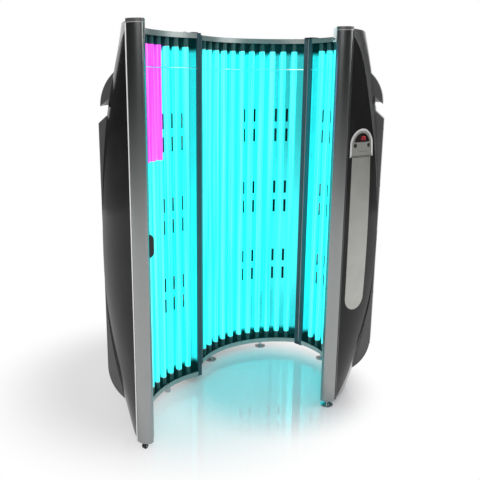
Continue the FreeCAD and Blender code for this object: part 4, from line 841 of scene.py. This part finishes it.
def make_bezel_rim():
    """Near-white line round the bezel's outer edge, a painted highlight, and a dark one along its foot."""
    out = Face("control_bezel").out
    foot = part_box("control_bezel")[0].z + BEZEL_FOOT

    def outer(edge):
        side, front = sorted(face.normal.dot(out) for face in edge.link_faces)
        return front > RIM_LEAST_FRONT and side < RIM_MOST_SIDE

    def above(edge):
        return outer(edge) and max(vert.co.z for vert in edge.verts) > foot

    def below(edge):
        return outer(edge) and max(vert.co.z for vert in edge.verts) < foot

    def span(line):
        heights = [point.z for point in line[0]]
        return max(heights) - min(heights)

    lines = crease_lines("control_bezel", above)
    least = TALL_SHARE * max(span(line) for line in lines)
    tall = moved([line for line in lines if span(line) > least], lambda point: -out * RIM_SINK)
    low = moved(crease_lines("control_bezel", below), lambda point: -out * RIM_SINK)
    bead("bezel_rim", tall, RIM_RADIUS, "painted_highlight_trim", "root")
    bead("bezel_foot_line", low, FOOT_LINE_RADIUS, "seal_rubber", "root")


def make_button_rings():
    """Soft rings on the bezel round the two push buttons."""
    bezel = Surface("control_bezel")
    shape = bmesh.new()
    for name, joint in BUTTONS.items():
        low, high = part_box(name)
        middle = (low + high) / 2
        inward = Vector(JOINTS[joint]["axis"]).normalized()
        aside = inward.orthogonal().normalized() * BUTTON_RAY_ASIDE
        point, _ = bezel.hit(middle - inward * BUTTON_RAY_LENGTH + aside, inward)
        level = (point - middle).dot(-inward)
        spin_ring(shape, BUTTON_RING, middle - inward * level, -inward)
    add_piece("button_rings", shape, "seal_rubber", "root")


def make_scale_dots():
    """Row of small round marks under the buttons."""
    face = Face("control_bezel", DOTS_SHARE_UP)
    shape = bmesh.new()
    for step in DOT_STEPS:
        found = face.place(step * DOT_PITCH, 0)
        if found:
            spin_profile(shape, DOT_SHAPE, *found)
    add_piece("bezel_dots", shape, "seal_rubber", "root")


def make_details():
    """All trim and fasteners of the scene."""
    # The door's seam strip is a real trim whose near-white finish is a painted highlight.
    for module, strip_finish in ((SIDE, "dark_trim"), (DOOR, "painted_highlight_trim")):
        make_seam_strip(module, strip_finish)
        make_leaf_trim(module)
        make_cap_lines(module)
        make_skin_screws(module.name + "_cover", module, COVER_SCREW_ANGLES,
                         COVER_SCREW_HEIGHTS, SKIN_SCREW_RADIUS, "screw_zinc")
        make_skin_screws(module.name + "_fairing", module, FAIRING_SCREW_ANGLES,
                         FAIRING_SCREW_HEIGHTS, FAIRING_SCREW_RADIUS, "screw_black")
        make_louvres(module)
    make_skin_screws("back_cover", BACK, BACK_SCREW_ANGLES, BACK_SCREW_HEIGHTS,
                     SKIN_SCREW_RADIUS, "screw_zinc")
    make_plate_screws()
    make_back_shade_sheet()
    make_top_bracket()
    make_bezel_rim()
    make_digits()
    make_button_rings()
    make_scale_dots()


# ---------------------------------------------------------------- studio ---
WHITE = (1, 1, 1, 1)
WORLD_LIGHT = 0.75
FLOOR_RADIUS, FLOOR_SIDES = 7.5, 96
FLOOR_SHADE_COLOUR = (0.6, 0.58, 0.6, 1)
FLOOR_ROUGHNESS, FLOOR_SPECULAR = 0.045, 0.38
# The floor keeps its grey within the booth's arc, as painted shade round the booth over its real shadow, turns
# partly white over a ring at that arc and wholly white over a wider ring about a place near the door, leaving more
# painted shade on the door's side.
ARC_CENTRE = (0.17, -0.14, 0)
ARC_RING = (0.34, 0.74)
FADE_CENTRE = (-0.35, 0.25, 0)
FADE_RING = (0.6, 1.3)
PARTLY_WHITE = 0.45
# The dark surround stands at the floor's edge, open behind the booth about this
# heading, and is lighter towards its foot.
FLAG_HEIGHT, FLAG_STEPS = 16, 72
FLAG_OPENING = math.radians(82)
FLAG_OPEN_HEADING = math.radians(67)
FLAG_FOOT_LIGHT, FLAG_LIGHT = 0.45, 0.045
FLAG_FADE_HEIGHT = 1.6
# Square lamps: name, place and power.
LIGHTS = (("key", (-3.5, -5.0, 5.0), 160), ("fill", (5.0, -3.0, 4.0), 90))
LIGHT_SIDE = 3.0
LIGHT_TARGET = Vector((0, 0, 1.0))


def make_world():
    """Soft light from all sides, seen as white."""
    world = bpy.data.worlds.new("studio")
    scene.world = world
    nodes = Nodes(world)
    output = nodes.add("ShaderNodeOutputWorld")
    background = nodes.add("ShaderNodeBackground", Color=WHITE)
    strength = nodes.spread(nodes.seen_directly(), WORLD_LIGHT, 1.0, 0, 1)
    nodes.link(strength, background.inputs["Strength"])
    nodes.link(background.outputs[0], output.inputs["Surface"])


def make_floor():
    """Pale glossy floor, grey near the booth as painted shade, that fades to the white backdrop away from it."""
    bpy.ops.mesh.primitive_circle_add(
        vertices=FLOOR_SIDES, radius=FLOOR_RADIUS, fill_type="NGON")
    floor = bpy.context.object
    floor.name = "floor"
    material = bpy.data.materials.new("floor")
    nodes = Nodes(material)
    output = nodes.add("ShaderNodeOutputMaterial")
    shader = nodes.add("ShaderNodeBsdfPrincipled")
    shader.inputs["Base Color"].default_value = FLOOR_SHADE_COLOUR
    shader.inputs["Roughness"].default_value = FLOOR_ROUGHNESS
    shader.inputs["Specular IOR Level"].default_value = FLOOR_SPECULAR
    white = nodes.add("ShaderNodeEmission", Color=WHITE)
    near = nodes.spread(nodes.distance(ARC_CENTRE), 0, 1, *ARC_RING, True)
    wide = nodes.spread(nodes.distance(FADE_CENTRE), PARTLY_WHITE, 1, *FADE_RING, True)
    rings = nodes.combine("MULTIPLY", near, wide)
    share = nodes.combine("MULTIPLY", rings, nodes.seen_directly())
    mix = nodes.add("ShaderNodeMixShader")
    nodes.link(share, mix.inputs[0])
    nodes.link(shader.outputs[0], mix.inputs[1])
    nodes.link(white.outputs[0], mix.inputs[2])
    nodes.link(mix.outputs[0], output.inputs["Surface"])
    floor.data.materials.append(material)


def make_flag():
    """Dark surround that only shows in glossy surfaces."""
    shape = bmesh.new()
    columns = []
    for step in range(FLAG_STEPS + 1):
        turn = (FLAG_OPEN_HEADING + FLAG_OPENING / 2
                + (math.tau - FLAG_OPENING) * step / FLAG_STEPS)
        foot = Vector((math.cos(turn), math.sin(turn), 0)) * FLOOR_RADIUS
        head = foot + Vector((0, 0, FLAG_HEIGHT))
        columns.append((shape.verts.new(foot), shape.verts.new(head)))
    for (low, high), (next_low, next_high) in zip(columns[:-1], columns[1:]):
        shape.faces.new((low, next_low, next_high, high))
    mesh = bpy.data.meshes.new("studio_flag")
    shape.to_mesh(mesh)
    shape.free()
    flag = bpy.data.objects.new("studio_flag", mesh)
    scene.collection.objects.link(flag)
    material = bpy.data.materials.new("studio_flag")
    nodes = Nodes(material)
    output = nodes.add("ShaderNodeOutputMaterial")
    glow = nodes.add("ShaderNodeEmission")
    level = nodes.spread(nodes.height(), FLAG_FOOT_LIGHT, FLAG_LIGHT, 0, FLAG_FADE_HEIGHT)
    nodes.link(level, glow.inputs["Color"])
    nodes.link(glow.outputs[0], output.inputs["Surface"])
    flag.data.materials.append(material)
    flag.visible_camera = False
    flag.visible_diffuse = False
    flag.visible_shadow = False
    flag.visible_transmission = False


def make_lights():
    """Soft lamps turned towards the booth."""
    for name, place, power in LIGHTS:
        data = bpy.data.lights.new(name, "AREA")
        data.shape = "RECTANGLE"
        data.size = LIGHT_SIDE
        data.size_y = LIGHT_SIDE
        data.energy = power
        light = bpy.data.objects.new(name, data)
        scene.collection.objects.link(light)
        light.location = place
        look = LIGHT_TARGET - Vector(place)
        light.rotation_euler = look.to_track_quat("-Z", "Y").to_euler()


make_camera()
make_world()
make_floor()
make_flag()
make_lights()
dress_nodes()
make_details()

# ----------------------------------------------------------------- view transform ---
scene.view_settings.view_transform = "Standard"
